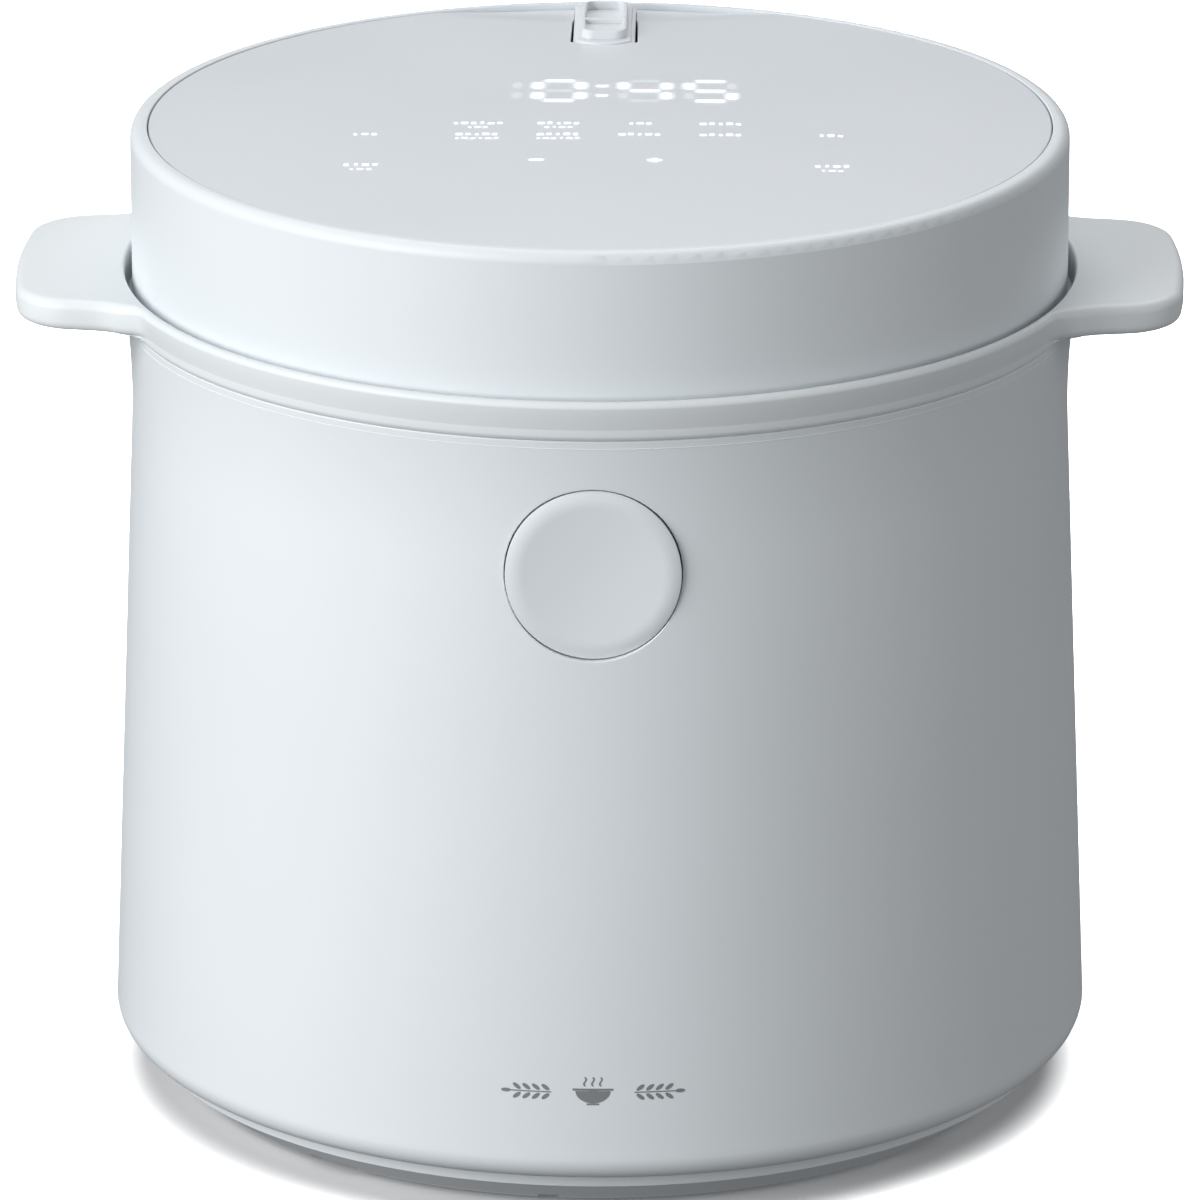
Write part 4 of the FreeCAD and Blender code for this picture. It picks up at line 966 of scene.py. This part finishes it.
# %% The lamps
def panel_lamps():
    bm = bmesh.new()
    card = bm.loops.layers.uv.new("card")
    bar = bm.loops.layers.float_color.new("bar")

    def lamp(x, y, half_x, half_y, bright=1.0, spread=0.0):
        reach = TIGHT_REACH + spread * (WIDE_REACH - TIGHT_REACH)
        verts = bmesh.ops.create_grid(bm, x_segments=1, y_segments=1, size=1)["verts"]
        lift = 0.05 + 0.02 * (len(bm.faces) % 6)
        for face in {face for vert in verts for face in vert.link_faces}:
            for loop in face.loops:
                loop[card].uv = (loop.vert.co.x * (half_x + reach), loop.vert.co.y * (half_y + reach))
                loop[bar] = (half_x, half_y, bright, spread)
        for vert in verts:
            vert.co.x = x + vert.co.x * (half_x + reach)
            vert.co.y = y + vert.co.y * (half_y + reach)
            vert.co.z = panel_z(vert.co) + lift

    digit_y, half_wide, half_tall = 24.0, 5.3, 9.2
    faint = 0.09
    places = {
        "a": (0, half_tall), "g": (0, 0), "d": (0, -half_tall), "f": (-half_wide, half_tall / 2),
        "b": (half_wide, half_tall / 2), "e": (-half_wide, -half_tall / 2), "c": (half_wide, -half_tall / 2),
    }
    for x, lit in ((-10.4, "abcdef"), (10.8, "bcfg"), (27.0, "acdfg"), (-26.2, "")):
        for key, (dx, dy) in places.items():
            flat = key in "agd"
            if x < -20 and key not in "bc":
                continue
            size = (2.75, 0.2) if flat else (0.25, 1.7)
            lamp(x + dx, digit_y + dy, *size, 1.0 if key in lit else faint, 0.75 if flat else 1.0)
    for dy in (-4.4, 4.4):
        lamp(0.2, digit_y + dy, 0.8, 0.2, 1.0, 0.55)

    def marks(x, y, count, pitch, half_y=0.5, bright=0.9):
        for index in range(count):
            wide = 0.12 + 0.22 * ((index * 5 + count) % 3)
            lamp(x + (index - (count - 1) / 2) * pitch, y + 0.25 * (index % 2), wide, half_y, bright)

    for x, upper, lower in ((-29.7, (6, 3), (5, 6)), (-10.0, (5, 4), (5, 6)), (9.9, (3, 0), (5, 0)),
                            (29.6, (5, 0), (5, 0))):
        for y, (first, second) in ((-6.0, upper), (-15.8, lower)):
            marks(x, y, first, 2.15)
            if second:
                marks(x, y - 3.6, second, 1.9, 0.3, 0.6)
    for x in (-57.0, 56.4):
        marks(x, -15.5, 3, 2.3)
        marks(x, -42.0, 4, 2.3)
        marks(x, -45.8, 3, 2.1, 0.3, 0.7)
    for x in (-14.8, 13.7):
        lamp(x, -38, 1.2, 0.1, 1.0, 0.4)
    lamp(13.7, -38, 0.1, 1.0, 1.0, 0.4)
    return make_piece(bm, "panel_lamps", "lid", lamp_glow(), flat=True)


panel_lamps()

# %% [markdown]
# ## A printed mark
# The front carries a small grey print: a steaming bowl between two ears of grain. It is a film of ink, so
# it is drawn flat from a few bars and discs, and then wrapped on to the wall.

# %% Ink and print
def grey_ink():
    finish = Finish("grey_ink")
    speckle = finish.noise(0.5, 2.0)
    finish.set(Base_Color=finish.blend(speckle, rgb(0.20, 0.21, 0.22), rgb(0.25, 0.26, 0.27)),
               Roughness=0.5 + speckle * 0.1)
    finish.bump(speckle, 0.003)
    return finish.material


PRINT_Z = 35.0


def bowl_print():
    bm = bmesh.new()

    def shape(verts, size, turn, at):
        bmesh.ops.scale(bm, vec=(size[0], 1, size[1]), verts=verts)
        bmesh.ops.rotate(bm, verts=verts, matrix=Matrix.Rotation(math.radians(turn), 3, "Y"))
        bmesh.ops.translate(bm, verts=verts, vec=(at[0], 0, at[1]))

    def disc(size, turn, at):
        verts = bmesh.ops.create_circle(bm, cap_ends=True, cap_tris=True, segments=20, radius=1)["verts"]
        bmesh.ops.rotate(bm, verts=verts, matrix=Matrix.Rotation(math.pi / 2, 3, "X"))
        shape(verts, size, turn, at)

    def bar(size, turn, at, sway=0.0):
        verts = bmesh.ops.create_grid(bm, x_segments=1, y_segments=8, size=1)["verts"]
        bmesh.ops.rotate(bm, verts=verts, matrix=Matrix.Rotation(math.pi / 2, 3, "X"))
        for vert in verts:
            vert.co.x += sway * math.sin(vert.co.z * math.pi)
        shape(verts, size, turn, at)

    spokes = [bm.verts.new((radius, 0, 0)) for radius in (1.0, 1.8, 2.6, 3.4, 4.2)]
    rail = [bm.edges.new(pair) for pair in zip(spokes, spokes[1:])]
    made = bmesh.ops.spin(bm, geom=spokes + rail, cent=(0, 0, 0), axis=(0, 1, 0), angle=math.pi, steps=24)
    bowl = spokes + [vert for face in bm.faces for vert in face.verts]
    bmesh.ops.scale(bm, vec=(1, 1, 0.74), verts=list(set(bowl)))
    bar((1.0, 0.5), 0, (0, -0.25))
    bar((0.28, 4.9), 90, (0, 0.35))
    bar((0.22, 1.5), 90, (0, -3.35))
    for x in (-1.9, 0, 1.9):
        bar((0.22, 1.15), 0, (x, 2.35), 1.2)
    for side in (-1, 1):
        bar((0.16, 5.0), 90, (side * 15, -0.4))
        for step in range(4):
            x = side * (11.4 + 2.3 * step)
            disc((1.15, 0.5), -side * 38, (x, 0.75))
            disc((1.15, 0.5), side * 38, (x, -1.55))
        disc((1.2, 0.5), 0, (side * 20.9, -0.4))
    for vert in bm.verts:
        z = PRINT_Z + vert.co.z
        vert.co = Vector((vert.co.x, -math.sqrt(wall_radius(z) ** 2 - vert.co.x ** 2) - 0.05, z))
    bmesh.ops.recalc_face_normals(bm, faces=bm.faces)
    if sum(face.normal.y for face in bm.faces) > 0:
        bmesh.ops.reverse_faces(bm, faces=bm.faces)
    return make_piece(bm, "bowl_print", "root", grey_ink(), flat=True)


bowl_print()

# %% [markdown]
# ## Floor, light and camera
# The studio is plain: a pale floor, a large soft light on the left that models the round wall, a weak fill
# on the right, and two soft panels above for the lid. The camera stands far back with a long lens, a little
# above the lid.

# %% Floor
def pale_floor():
    bm = bmesh.new()
    bmesh.ops.create_grid(bm, x_segments=2, y_segments=2, size=6.0)
    mesh = bpy.data.meshes.new("floor")
    bm.to_mesh(mesh)
    bm.free()
    floor = bpy.data.objects.new("floor", mesh)
    bpy.context.scene.collection.objects.link(floor)
    finish = Finish("pale_floor")
    cloud = finish.noise(900, 2.0)
    finish.set(Base_Color=finish.blend(cloud, rgb(0.86, 0.86, 0.86), rgb(0.9, 0.9, 0.9)), Roughness=0.85)
    mesh.materials.append(finish.material)
    return floor


studio_floor = pale_floor()


# %% Lights
def area_light(name, place, target, size, watts):
    lamp = bpy.data.lights.new(name, "AREA")
    lamp.shape = "RECTANGLE"
    lamp.size, lamp.size_y = size
    lamp.energy = watts
    holder = bpy.data.objects.new(name, lamp)
    bpy.context.scene.collection.objects.link(holder)
    holder.location = place
    holder.rotation_euler = (Vector(target) - Vector(place)).to_track_quat("-Z", "Y").to_euler()
    return holder


LAMPS = (
    ("key_left", (-1.5, -1.15, 0.9), (0, 0, 0.13), (1.6, 1.6), 44),
    ("overhead", (-0.3, 0.3, 1.9), (0, 0, 0.2), (1.6, 1.6), 7),
    ("right_fill", (1.8, -0.6, 0.6), (0, 0, 0.12), (1.4, 1.4), 9.5),
    ("back_top", (0.2, 1.2, 1.5), (0, 0, 0.2), (1.4, 1.4), 13),
    ("low_card", (-0.5, -1.3, 0.12), (0, 0, 0.1), (1.6, 0.2), 2),
)
for row in LAMPS:
    area_light(*row)
print(len(LAMPS), "lamps")

# %% [markdown]
# The backdrop should read as clean white, while the cooker keeps its shading. Turning every light up would
# bleach the cooker, so one more light shines on the floor alone: light linking gives it a list of receivers.
# A floor that bright would still throw light up at the cooker, so the floor is hidden from rays that have
# bounced, and a long low card in front stands in for its soft glow.

# %% A light for the floor alone
wash = area_light("floor_wash", (0.1, 0.5, 1.1), (0.1, 0.5, 0), (1.4, 2.0), 60)
floor_only = bpy.data.collections.new("floor_only")
floor_only.objects.link(studio_floor)
wash.light_linking.receiver_collection = floor_only
studio_floor.visible_diffuse = False
studio_floor.visible_glossy = False

# %% A dim room
world = bpy.data.worlds.new("studio")
bpy.context.scene.world = world
world.use_nodes = True
room = world.node_tree.nodes["Background"].inputs
room["Color"].default_value = rgb(0.9, 0.92, 0.95)
room["Strength"].default_value = 0.13
bpy.context.scene.view_settings.view_transform = "Standard"

# %% Camera
CAMERA_BACK, CAMERA_UP, CAMERA_TURN = 2.204, 0.861, math.radians(0.8)
CAMERA_PITCH = math.radians(18.62)
FOCAL_LENGTH = 280.2
lens = bpy.data.cameras.new("camera")
lens.lens = FOCAL_LENGTH
lens.clip_end = 30
camera = bpy.data.objects.new("camera", lens)
camera.location = (CAMERA_BACK * math.sin(CAMERA_TURN), -CAMERA_BACK * math.cos(CAMERA_TURN), CAMERA_UP)
camera.rotation_euler = (math.pi / 2 - CAMERA_PITCH, 0, CAMERA_TURN)
bpy.context.scene.collection.objects.link(camera)
bpy.context.scene.camera = camera
print(f"the camera is {camera.location.length:.2f} m away")
